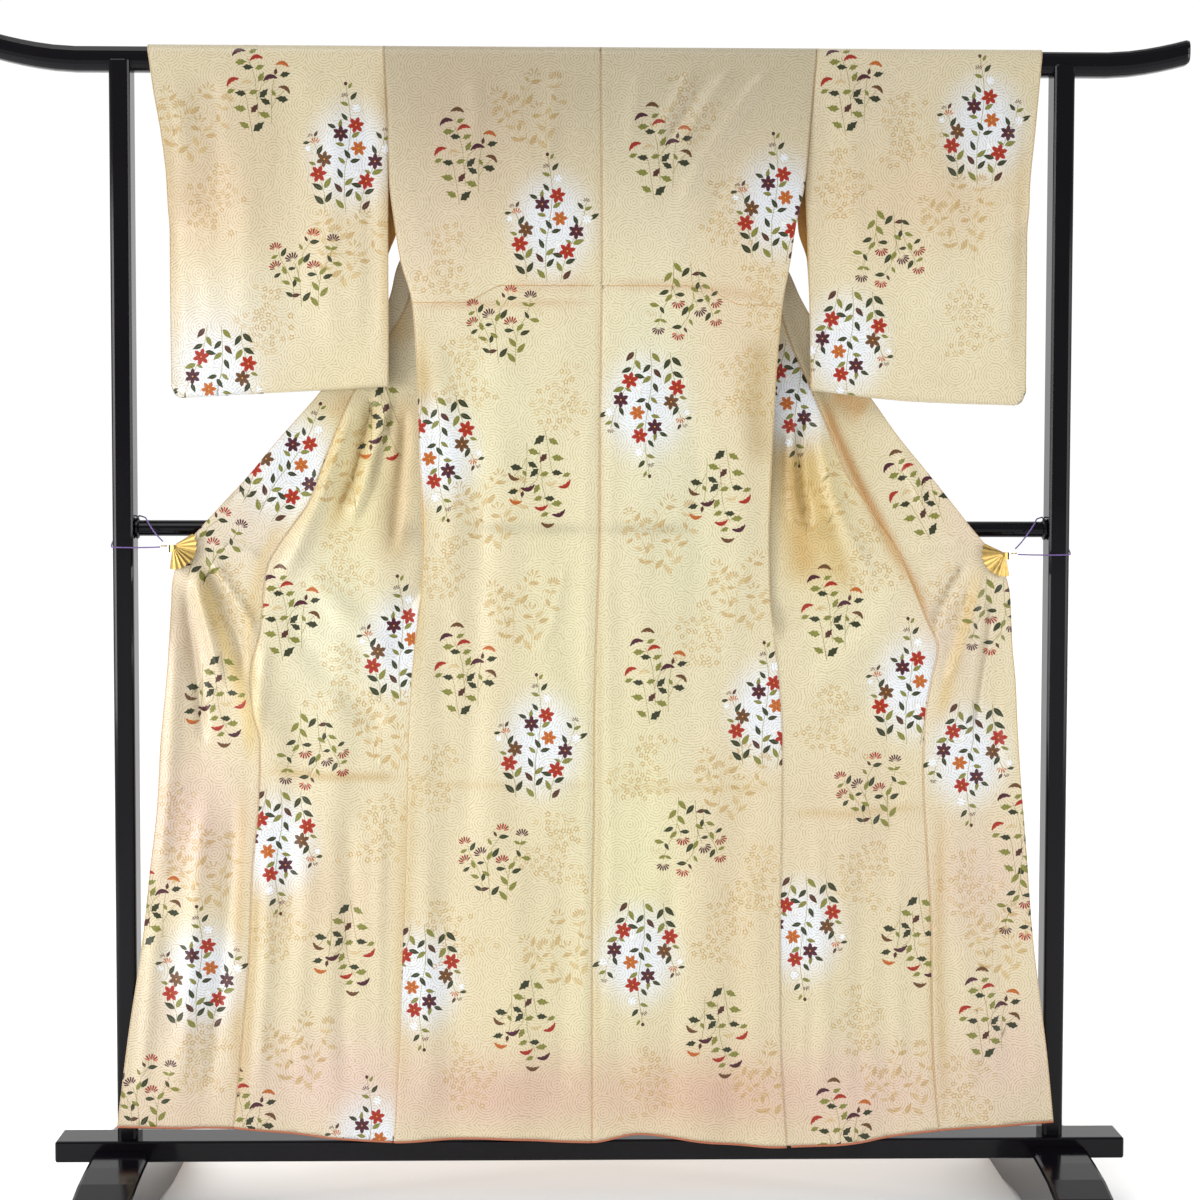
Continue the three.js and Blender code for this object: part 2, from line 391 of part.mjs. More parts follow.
function post(s, name) {
  const shape = rounded(POST.wide, POST.deep, POST.round, 3).getPoints();
  const body = loft('body', [[BOARD.top + SEAM, 1], [POST.cheek - 2, 1], [POST.cheek - 0.5, 0.97], [POST.cheek, 0.93]].map(([z, k]) => shape.map((p) => V(p.x * k, p.y * k, z))), lacquer);
  const seat = rounded(BAR.deep + 2 * SEAM, BAR.tall + 2 * SEAM + 40, BAR.round, 4).getPoints();
  const cutter = loft('seat', [-POST.wide, POST.wide].map((x) => seat.map((p) => V(x, p.x, BAR.top - BAR.tall / 2 + 20 + p.y))), lacquer);
  const m = fromSolid(name, solid(body).subtract(solid(cutter)), lacquer);
  m.position.x = s * POST.x; return m;
}
function crossbar() {
  const L = POST.x - POST.wide / 2 - SEAM, r = CROSS.d / 2, R = CROSS.boss / 2;
  const prof = [[0, -L], [R - 1.5, -L], [R, -L + 1.5], [R, -L + CROSS.bossLong - 1], [r, -L + CROSS.bossLong + 1], [r, L - CROSS.bossLong - 1], [R, L - CROSS.bossLong + 1], [R, L - 1.5], [R - 1.5, L], [0, L]];
  const g = new THREE.LatheGeometry(prof.map(([x, y]) => new THREE.Vector2(x, y)), 20);
  g.rotateZ(-Math.PI / 2); g.translate(0, 0, CROSS.z);
  const m = new THREE.Mesh(g, lacquer); m.name = 'crossbar'; return m;
}
function board() {
  const c = 2, x = BOARD.long / 2, y = BOARD.deep / 2, z1 = BOARD.top, z0 = z1 - BOARD.thick;
  const shape = rounded(BOARD.deep, BOARD.thick, 3, 2).getPoints();
  return loft('base_board', [-x, -x + c, x - c, x].map((q) => shape.map((p) => V(q, p.x * (Math.abs(q) > x - 1 ? 0.95 : 1), (z0 + z1) / 2 + p.y * (Math.abs(q) > x - 1 ? 0.9 : 1)))), lacquer);
}
function foot(s, name) {
  const sit = BOARD.top - BOARD.thick - SEAM, lipY = BOARD.deep / 2 + SEAM;
  const halfLine = [[lipY, sit], [lipY, FOOT.lip], [lipY + 8, FOOT.lip + 0.6], [100, 101], [160, 95], [215, 84], [255, 66], [282, 42], [296, 18], [FOOT.half, 3], [FOOT.half - 3, 0], [165, 0], [150, 2.5], [110, 9], [60, FOOT.arch]];
  const pts = [...halfLine, ...[...halfLine].reverse().map(([y, z]) => [-y, z])];
  const ring = (x, k) => pts.map(([y, z]) => {
    const inY = Math.abs(y) <= lipY + 0.01;
    return V(x, inY ? y : Math.sign(y) * (Math.abs(y) - (Math.abs(y) > 200 ? k : 0)), z < 14 || inY && z < sit + 1 ? z : z - k);
  });
  const h = FOOT.wide / 2, xs = [[-h, 5], [-h + 2, 1.6], [-h + 6, 0], [h - 6, 0], [h - 2, 1.6], [h, 5]];

  const rings = xs.map(([x, k]) => ring(s * 681 + x, k));
  // caps follow the profile, which isn't convex, so they are triangulated as a shape
  const n = pts.length, pos = rings.flat(), tri = [], last = (rings.length - 1) * n;
  for (let j = 0; j < rings.length - 1; j++) for (let i = 0; i < n; i++) { const a = j * n + i, b = j * n + (i + 1) % n; tri.push([a, b, b + n], [a, b + n, a + n]); }
  const cap = THREE.ShapeUtils.triangulateShape(rings[0].map((p) => new THREE.Vector2(p.y, p.z)), []);
  const ccw = THREE.ShapeUtils.area(rings[0].map((p) => new THREE.Vector2(p.y, p.z))) > 0;
  for (const [a, b, c] of cap) { ccw ? tri.push([a, c, b]) : tri.push([a, b, c]); }
  for (const [a, b, c] of cap) { ccw ? tri.push([last + a, last + b, last + c]) : tri.push([last + a, last + c, last + b]); }
  return mesh(name, pos, tri, lacquer);
}

// ---------------------------------------------------------------- fan clips and their cords
const CLIP = { '-1': { x: -601, y: -34.5, z: 983.5, from: -98, to: 32 }, 1: { x: 594, y: -34.5, z: 974.5, from: 155, to: 280 } };
function fan(s, name) {
  const C = CLIP[s], grid = [], n = FAN.ribs * 2;
  for (const r of [FAN.r0, 12, FAN.r1 - 1.5, FAN.r1]) {
    const row = [];
    for (let i = 0; i <= n; i++) {
      const a = mix(C.from, C.to, i / n) * Math.PI / 180, amp = FAN.pleat * (r / FAN.r1) * (i % 2 ? 1 : -1), rr = r - (r === FAN.r1 && i % 2 === 0 ? 1.2 : 0);
      row.push(V(C.x + rr * Math.cos(a), C.y - 1.5 + amp, C.z + rr * Math.sin(a)));
    }
    grid.push(row);
  }
  return wall(name, grid, FAN.thick, gold);
}
function jaw(s, name) {                // a spring strip that wraps the cloth's edge
  const C = CLIP[s], dir = -s, y0 = C.y + 1.2, y1 = -19.5, m = (y0 + y1) / 2, r = (y1 - y0) / 2;
  const path = [V(C.x + dir * 24, y0, 0), V(C.x + dir * 8, y0, 0), V(C.x, y0, 0)];
  for (const a of [35, 70, 110, 145]) path.push(V(C.x - dir * r * Math.sin(a * Math.PI / 180), m - r * Math.cos(a * Math.PI / 180), 0));
  path.push(V(C.x, y1, 0), V(C.x + dir * 10, y1, 0), V(C.x + dir * 24, y1 - 0.5, 0));
  return wall(name, [-5, 5].map((dz) => path.map((p) => V(p.x, p.y, C.z - 4 + dz))), 1, gold);
}
function ring(s, name) {
  const C = CLIP[s], g = new THREE.TorusGeometry(3.6, 0.9, 6, 12);
  const m = new THREE.Mesh(g, gold); m.name = name; m.position.set(C.x + s * 13.2, C.y + 0.6, C.z); return m;
}
function cord(s, name) {
  const C = CLIP[s], X = (v) => s * v, k = CORD / 2, f = POST.deep / 2 + k + 0.9, out = POST.x + POST.wide / 2 + k + 0.9;
  const zA = C.z - 1.5, cross = CROSS.z + CROSS.d / 2 + k + 0.4;
  const rx = Math.abs(C.x) + 13.2;
  const px = POST.x, hw = POST.wide / 2;
  const pts = [V(X(rx + 6), C.y + 0.4, zA), V(X(rx + 14), -f - 1.5, zA - 0.6), V(X(px - hw + 3), -f, zA - 1.2), V(X(px + hw - 6), -f, zA - 0.8), V(X(px + hw - 1.2), -f + 1.6, zA - 0.6),
    V(X(out - 0.2), -POST.deep / 2 + 5, zA), V(X(out), 0, zA + 10), V(X(out - 0.2), POST.deep / 2 - 5, zA + 24), V(X(px + hw - 1.2), f - 1.6, zA + 30), V(X(px + hw - 6), f, zA + 33), V(X(px - hw + 6), f, cross + 2),
    V(X(px - hw + 0.4), f - 1.0, cross + 2.4), V(X(px - hw - k - 1.8), 14, cross + 4.6), V(X(px - hw - 9), 6, cross + 3.4), V(X(px - hw - 16), -8, cross + 1.4), V(X(px - hw - 21), -18, cross - 5), V(X(rx + 12), -27, C.z + 16), V(X(rx + 2), C.y + 2, C.z + 6.6)];
  const path = new THREE.CatmullRomCurve3(pts, false, 'centripetal');
  const hex = new THREE.Shape(); hex.setFromPoints([...Array(7)].map((_, i) => new THREE.Vector2(k * Math.cos(i * Math.PI * 2 / 7), k * Math.sin(i * Math.PI * 2 / 7))));
  const g = new THREE.ExtrudeGeometry(hex, { steps: 44, extrudePath: path, bevelEnabled: false });
  const m = new THREE.Mesh(g, purple); m.name = name; return m;
}

// ---------------------------------------------------------------- the whole
const group = new THREE.Group();
for (const [s, tag] of [[-1, 'left'], [1, 'right']]) {
  const foldsIn = [0, 0.09, 0.2, 0.31, 0.42, 0.53, 0.64, 0.75, 0.87, 1];
  group.add(backPanel(s, `back_${tag}`), frontPanel(s, `front_${tag}`), overlap(s, `overlap_${tag}`), sleevePanel(s, `sleeve_${tag}`));
  group.add(hemRoll(`hem_back_${tag}`, foldsIn.map((f) => backPoint(s, f * 0.998 + 0.001, 1))));
  const lowFront = [0.03, 0.2, 0.36, 0.52, 0.68, 0.84, 0.998].map((t) => { const p = frontPoint(s, 120, 2, t); return frontPoint(s, hem(p.x), 2, t); });
  group.add(hemRoll(`hem_front_${tag}`, lowFront));
  group.add(hemRoll(`hem_overlap_${tag}`, [0.01, 0.16, 0.38, 0.6, 0.8, 1].map((t) => { const p = overlapPoint(s, 120, t); return overlapPoint(s, hem(p.x), t); })));
  group.add(post(s, `post_${tag}`), foot(s, `foot_${tag}`), fan(s, `clip_fan_${tag}`), jaw(s, `clip_jaw_${tag}`), ring(s, `clip_ring_${tag}`), cord(s, `cord_${tag}`));
}
group.add(collar('collar'), topBar(), crossbar(), board());
export default group;
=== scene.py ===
# Komon kimono on a lacquered kimono stand. Lengths are worked out in millimetres and made in metres.
import math
import bpy
import numpy as np
from mathutils import Matrix, Vector
from mathutils.geometry import delaunay_2d_cdt


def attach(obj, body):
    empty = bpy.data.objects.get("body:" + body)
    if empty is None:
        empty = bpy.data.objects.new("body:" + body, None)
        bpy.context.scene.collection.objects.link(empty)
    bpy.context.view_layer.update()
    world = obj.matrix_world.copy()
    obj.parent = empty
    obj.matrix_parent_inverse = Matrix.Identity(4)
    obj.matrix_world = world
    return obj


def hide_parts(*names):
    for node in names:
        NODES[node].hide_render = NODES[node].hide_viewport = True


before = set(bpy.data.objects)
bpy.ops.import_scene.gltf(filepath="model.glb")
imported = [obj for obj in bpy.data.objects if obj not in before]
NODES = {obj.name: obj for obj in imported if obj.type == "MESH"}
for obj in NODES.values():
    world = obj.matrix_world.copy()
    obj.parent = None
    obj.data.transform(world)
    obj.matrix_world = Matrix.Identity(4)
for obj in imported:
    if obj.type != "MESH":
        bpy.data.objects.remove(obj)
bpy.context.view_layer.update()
RNG = np.random.default_rng(7)

# ---------------------------------------------------------------- camera
FOCAL = 2414.0
EYE = np.array([-71.6, -3500.0, 1089.7])
YAW, PITCH, ROLL = math.radians(-1.345), math.radians(3.024), math.radians(0.121)
FWD = np.array([-math.sin(YAW) * math.cos(PITCH), math.cos(YAW) * math.cos(PITCH), -math.sin(PITCH)])
_r0 = np.array([math.cos(YAW), math.sin(YAW), 0.0])
_u0 = np.cross(_r0, FWD)
RIGHT = math.cos(ROLL) * _r0 + math.sin(ROLL) * _u0
UP = -math.sin(ROLL) * _r0 + math.cos(ROLL) * _u0
cam_data = bpy.data.cameras.new("camera")
cam_data.sensor_width = 36.0
cam_data.lens = FOCAL / 1200 * 36.0
cam_data.clip_end = 200
cam = bpy.data.objects.new("camera", cam_data)
bpy.context.scene.collection.objects.link(cam)
cam.matrix_world = Matrix(((RIGHT[0], UP[0], -FWD[0], EYE[0] / 1000), (RIGHT[1], UP[1], -FWD[1], EYE[1] / 1000),
                           (RIGHT[2], UP[2], -FWD[2], EYE[2] / 1000), (0, 0, 0, 1)))
bpy.context.scene.camera = cam


def at(px, py, y=-30.0):
    """x and z, in mm, of a point of the 1200 x 1200 frame that lies at depth y."""
    d = FWD + RIGHT * ((px - 600) / FOCAL) - UP * ((py - 600) / FOCAL)
    t = (y - EYE[1]) / d[1]
    return EYE[0] + t * d[0], EYE[2] + t * d[2]


# ---------------------------------------------------------------- sizes, as in the CAD
WALL, SEAM, EASE, NECK = 1.6, 0.3, 1.2, 77.0
BAR = dict(top=1695.4, tall=36.0, deep=38.0, round=13.5)
BACK = [
    [1697, 300, 319.5, 9.6, -21], [1659, 298, 316, 9.8, -21.4], [1590, 294.5, 309.8, 10.4, -23.5],
    [1502, 292, 302, 11.2, -25.5], [1445, 285, 290, 11.5, -26.3], [1392, 276.5, 282, 11.8, -27],
    [1332, 260, 271.3, 11.6, -27.6], [1255, 254, 264.6, 10.6, -28.4], [1136, 250, 258, 9.3, -30],
    [996, 244.5, 253.2, 9, -32.2], [914, 248, 255.1, 6.5, -33.4], [833, 257.7, 264.2, 3.8, -34.4],
    [704, 266.6, 273.7, 1.6, -36], [617, 268.2, 274.2, 1.8, -37], [449, 273, 272.3, -0.8, -38.8],
    [280, 279, 273.4, -0.5, -40.4], [110, 288.5, 283.2, -0.2, -41.6]]
FRONT_COLS = ['side', 'run', 'head', 'bend', 'seam', 'edge', 'ySide', 'yTurn', 'ySeam', 'yEdge', 'step']
FRONT = {-1: [
    [1659, 300, 218, 0, 5, 78, 78, 21, 21, 22, 22, 0],
    [1625, 297, 214, 0, 8, 86, 88, 20.5, 20.5, 26, 26, 0],
    [1553, 289, 196, 0, 11, 132, 136, 18.5, 18, 26, 26, 0],
    [1490, 277.5, 153, 0, 12.6, 200, 207, 15.5, 15, 24, 24.5, 0],
    [1430, 272, 130, 0, 12.6, 244, 258, -2, 11, 20.5, 21, 0],
    [1385, 270, 127, 0, 12.6, 258, 284, -18, 7.5, 17.5, 18.5, 0],
    [1342, 261, 121, 0, 12.6, 266, 294.5, -25, 5, 15.8, 16.5, 0],
    [1270, 255, 99, 0, 12.6, 306, 345, -26, 3, 15, 15.5, 0],
    [1198, 252, 76, 0, 12.6, 350, 401, -26.8, -3, 12, 13, 0],
    [1131, 250, 61, 0, 12.6, 377, 459, -27.8, -13, -1, 1, 1],
    [1087, 248.5, 52, 0, 12.6, 394, 494, -28.5, -18, -8, -7, 3],
    [1048, 247, 45, 0, 12.6, 407, 529, -29, -23, -17.5, -17.5, 3.5],
    [1013, 245.5, 33, 0, 12.6, 431, 560, -29.6, -25.8, -22.5, -23.5, 2],
    [983, 245, 22, 0, 12.6, 452, 585, -30, -27.2, -24.5, -27, 2],
    [955, 245, 13, 0, 11, 467, 598, -30.4, -28.4, -26, -28, 2],
    [926, 246.5, 8, 30, 9, 472, 604.5, -30.8, -29.6, -27, -28.8, 2],
    [900, 249, 8, 120, 8, 474, 606, -31.4, -31, -29, -29.4, 1.5],
    [864, 253.5, 10, 176, 6, 478, 608, -31.9, -31.9, -30, -29.8, 1],
    [794, 261, 10, 178, 6, 492, 612.5, -32.8, -32.8, -30.5, -30.6, 0.6],
    [739, 265, 10, 178, 6, 486.5, 618, -33.4, -33.4, -31.5, -31.4, 0.6],
    [704, 266.6, 10, 178, 6, 478.5, 621.6, -33.8, -33.8, -32, -31.8, 0.6],
    [616, 268.2, 10, 178, 6, 481, 626.6, -34.8, -34.8, -33, -32.6, 0.6],
    [508, 271.5, 10, 178, 6, 491, 639, -36, -36, -34, -33.4, 0.6],
    [410, 274.5, 10, 178, 6, 495, 650, -37, -37, -35.4, -34, 0.6],
    [284, 279, 10, 178, 6, 505, 669.5, -38.2, -38.2, -37, -35, 0.6],
    [110, 288.5, 10, 178, 6, 522, 692, -39.4, -39.4, -39.4, -37.6, 0.6]],
    1: [
    [1659, 319, 237, 0, 5, 78, 78, 21, 21, 22, 22, 0],
    [1625, 314, 231, 0, 8, 86, 88, 20.5, 20.5, 26, 26, 0],
    [1553, 304, 210, 0, 11, 134, 138, 18.5, 18, 26, 26, 0],
    [1490, 290, 167, 0, 12.6, 190, 197, 15.5, 15, 24, 24.5, 0],
    [1430, 283, 146, 0, 12.6, 228, 242, -2, 11, 20.5, 21, 0],
    [1385, 279, 135, 0, 12.6, 254, 282, -18, 7.5, 17.5, 18.5, 2],
    [1342, 271.8, 122, 0, 12.6, 266, 302, -25, 5, 14.5, 16.5, 3],
    [1270, 265, 109, 0, 12.6, 290, 348, -26, 3, 12, 15.5, 5],
    [1198, 261, 95, 0, 12.6, 322, 405, -26.8, -4, 7, 13, 9],
    [1146, 258.5, 82, 0, 12.6, 343, 441, -27.6, -11, -4, 3.5, 12],
    [1088, 256.5, 70, 0, 12.6, 366, 487, -28.5, -18, -15, -7, 13],
    [1048, 255, 55, 0, 12.6, 393, 518, -29, -22.5, -22, -17, 7],
    [1013, 253.6, 43, 0, 12.6, 417, 545, -29.6, -25.6, -26, -23.5, 3.5],
    [983, 253.3, 32, 0, 12.6, 437, 570, -30, -27.2, -27, -27, 3],
    [955, 253.6, 22, 0, 11, 450, 591, -30.4, -28.4, -27, -28, 4],
    [914, 255, 12, 0, 9, 467, 603, -31, -30, -29, -28.8, 3],
    [880, 258, 8, 60, 8, 481, 605.5, -31.5, -31, -30.5, -29.4, 2],
    [837, 264, 8, 176, 6, 498.5, 608, -32.2, -32.2, -31.5, -29.8, 1.2],
    [790, 267.8, 10, 178, 6, 489, 612.5, -32.8, -32.8, -31.8, -30.6, 0.8],
    [723, 273, 10, 178, 6, 479.5, 616, -33.6, -33.6, -32.4, -31.4, 0.6],
    [662, 274, 10, 178, 6, 478.5, 620, -34.4, -34.4, -33, -32.2, 0.6],
    [527, 273, 10, 178, 6, 486, 631.5, -35.8, -35.8, -34.4, -33.4, 0.6],
    [429, 272.4, 10, 178, 6, 492, 639.5, -36.8, -36.8, -35.4, -34.2, 0.6],
    [330, 272.8, 10, 178, 6, 493.5, 651.5, -37.8, -37.8, -36.6, -35, 0.6],
    [250, 274.6, 10, 178, 6, 495.8, 662.3, -38.4, -38.4, -37.4, -35.6, 0.6],
    [110, 283.3, 10, 178, 6, 508, 677, -39.4, -39.4, -39.4, -37.8, 0.6]]}
HEM = [[-700, 144], [-522, 142.6], [-503, 141], [-337, 124.2], [-288, 121.3], [-153, 126.4],
       [0, 120.2], [66, 131], [180, 118], [268, 111.4], [346, 113.8], [497, 133.8], [680, 146.6]]
SLEEVE = {-1: [[1697, 635.5, 300.3, 300.3], [1631, 627, 297, 297.5], [1575, 617.5, 294.3, 292], [1500, 609.5, 293.6, 280],
               [1440, 607.8, 294, 283], [1395, 607.6, 294, 297], [1300, 607.4, 294, 299], [1210, 606.4, 294.6, 294.6]],
          1: [[1697, 643, 319.9, 319.4], [1631, 638, 314, 314.5], [1581, 634, 309.6, 308], [1490, 627, 304, 294],
              [1440, 626.8, 306.5, 297], [1395, 626.8, 308.5, 310], [1300, 626.8, 312, 314], [1205, 626.8, 314.8, 314.8]]}
BOTTOM = {-1: [[0, 1213], [0.5, 1204], [1, 1195]], 1: [[0, 1209], [0.5, 1193], [1, 1188]]}
HALF = [[1697, 0, 21.0], [1659, 0, 21.0], [1600, -0.5, 19.5], [1500, -1.5, 17], [1400, -2.5, 13.5], [1300, -4, 10.5],
        [1230, -5, 8.2], [1180, -5, 7]]
BACK_FOLDS = [
    [-215, 930, -205, 110, 30, -4.5], [-140, 800, -128, 110, 34, 3.5], [-62, 980, -40, 520, 26, 2.2],
    [150, 860, 160, 110, 34, 3.6], [215, 900, 212, 110, 28, -4.2], [75, 700, 66, 110, 26, -2.6],
    [215, 1640, 70, 1480, 22, 2.4]]
SIDE_FOLDS = [
    [-592, 955, -480, 740, 20, 7], [-600, 915, -560, 640, 22, -5], [-330, 1140, -300, 900, 26, 5],
    [-365, 900, -375, 110, 30, 4], [-430, 760, -428, 110, 28, -4], [-560, 560, -600, 110, 30, 4],
    [583, 945, 520, 760, 20, 7], [597, 900, 585, 640, 22, -5], [330, 1120, 345, 880, 28, 5],
    [370, 820, 372, 110, 30, 4], [430, 760, 436, 110, 26, -4], [570, 560, 590, 110, 30, 4]]


def curve(xs, ys):
    xs, ys = np.array(xs, float), np.array(ys, float)
    if xs[0] > xs[-1]:
        xs, ys = xs[::-1], ys[::-1]
    h = np.diff(xs); d = np.diff(ys) / h; n = len(xs)
    m = np.zeros(n); m[0] = d[0]; m[-1] = d[-1]
    for i in range(1, n - 1):
        if d[i - 1] * d[i] > 0:
            a, b = 2 * h[i] + h[i - 1], h[i] + 2 * h[i - 1]
            m[i] = (a + b) / (a / d[i - 1] + b / d[i])

    def f(x):
        x = np.clip(x, xs[0], xs[-1])
        i = np.clip(np.searchsorted(xs, x, side='left') - 1, 0, n - 2)
        t = (x - xs[i]) / h[i]; u = 1 - t
        return ys[i] * (1 + 2 * t) * u * u + ys[i + 1] * t * t * (3 - 2 * t) + h[i] * t * u * (m[i] * u - m[i + 1] * t)
    return f


def col(rows, k):
    return curve([r[0] for r in rows], [r[k] for r in rows])


def mix(a, b, t):
    return a + (b - a) * t


def soft(a, b, x):
    t = np.clip((x - a) / (b - a), 0, 1)
    return t * t * (3 - 2 * t)


back_side = {-1: col(BACK, 1), 1: col(BACK, 2)}
back_mid, back_y = col(BACK, 3), col(BACK, 4)
front = {s: {c: col(FRONT[s], k + 1) for k, c in enumerate(FRONT_COLS)} for s in (-1, 1)}
sleeve = {s: [col(SLEEVE[s], k) for k in (1, 2, 3)] for s in (-1, 1)}
hem = curve([r[0] for r in HEM], [r[1] for r in HEM])
low = {s: curve([r[0] for r in BOTTOM[s]], [r[1] for r in BOTTOM[s]]) for s in (-1, 1)}
half_mid, half_r = col(HALF, 1), col(HALF, 2)
TURN = BAR['round'] + EASE + WALL / 2
FLAT = BAR['deep'] / 2 - BAR['round']
REACH = BAR['deep'] / 2 + EASE + WALL / 2
DOWN = BAR['top'] - BAR['round']
ARC = TURN * math.pi / 2 + FLAT


def old_folds(rows, x, z):
    y = np.zeros_like(x)
    for x0, z0, x1, z1, w, a in rows:
        dx, dz = x1 - x0, z1 - z0
        ln = math.hypot(dx, dz)
        t = ((x - x0) * dx + (z - z0) * dz) / (ln * ln)
        off = ((x - x0) * dz - (z - z0) * dx) / ln
        open_ = mix(0.55, 1.25, np.clip(t, 0, 1))
        y -= a * soft(-0.12, 0.18, t) * soft(1.52, 0.95, t) * np.exp(-((off / (w * open_)) ** 2))
    return y


def over_bar(side, a):
    """Depth and height a mm of arc above the point where the cloth leaves the bar's corner."""
    A = TURN * math.pi / 2
    ang = (A - np.minimum(a, A)) / TURN
    flat = np.clip(1 - (a - A) / FLAT, 0, 1)
    return side * (FLAT * flat + TURN * np.sin(ang)), BAR['top'] - BAR['round'] + TURN * np.cos(ang)


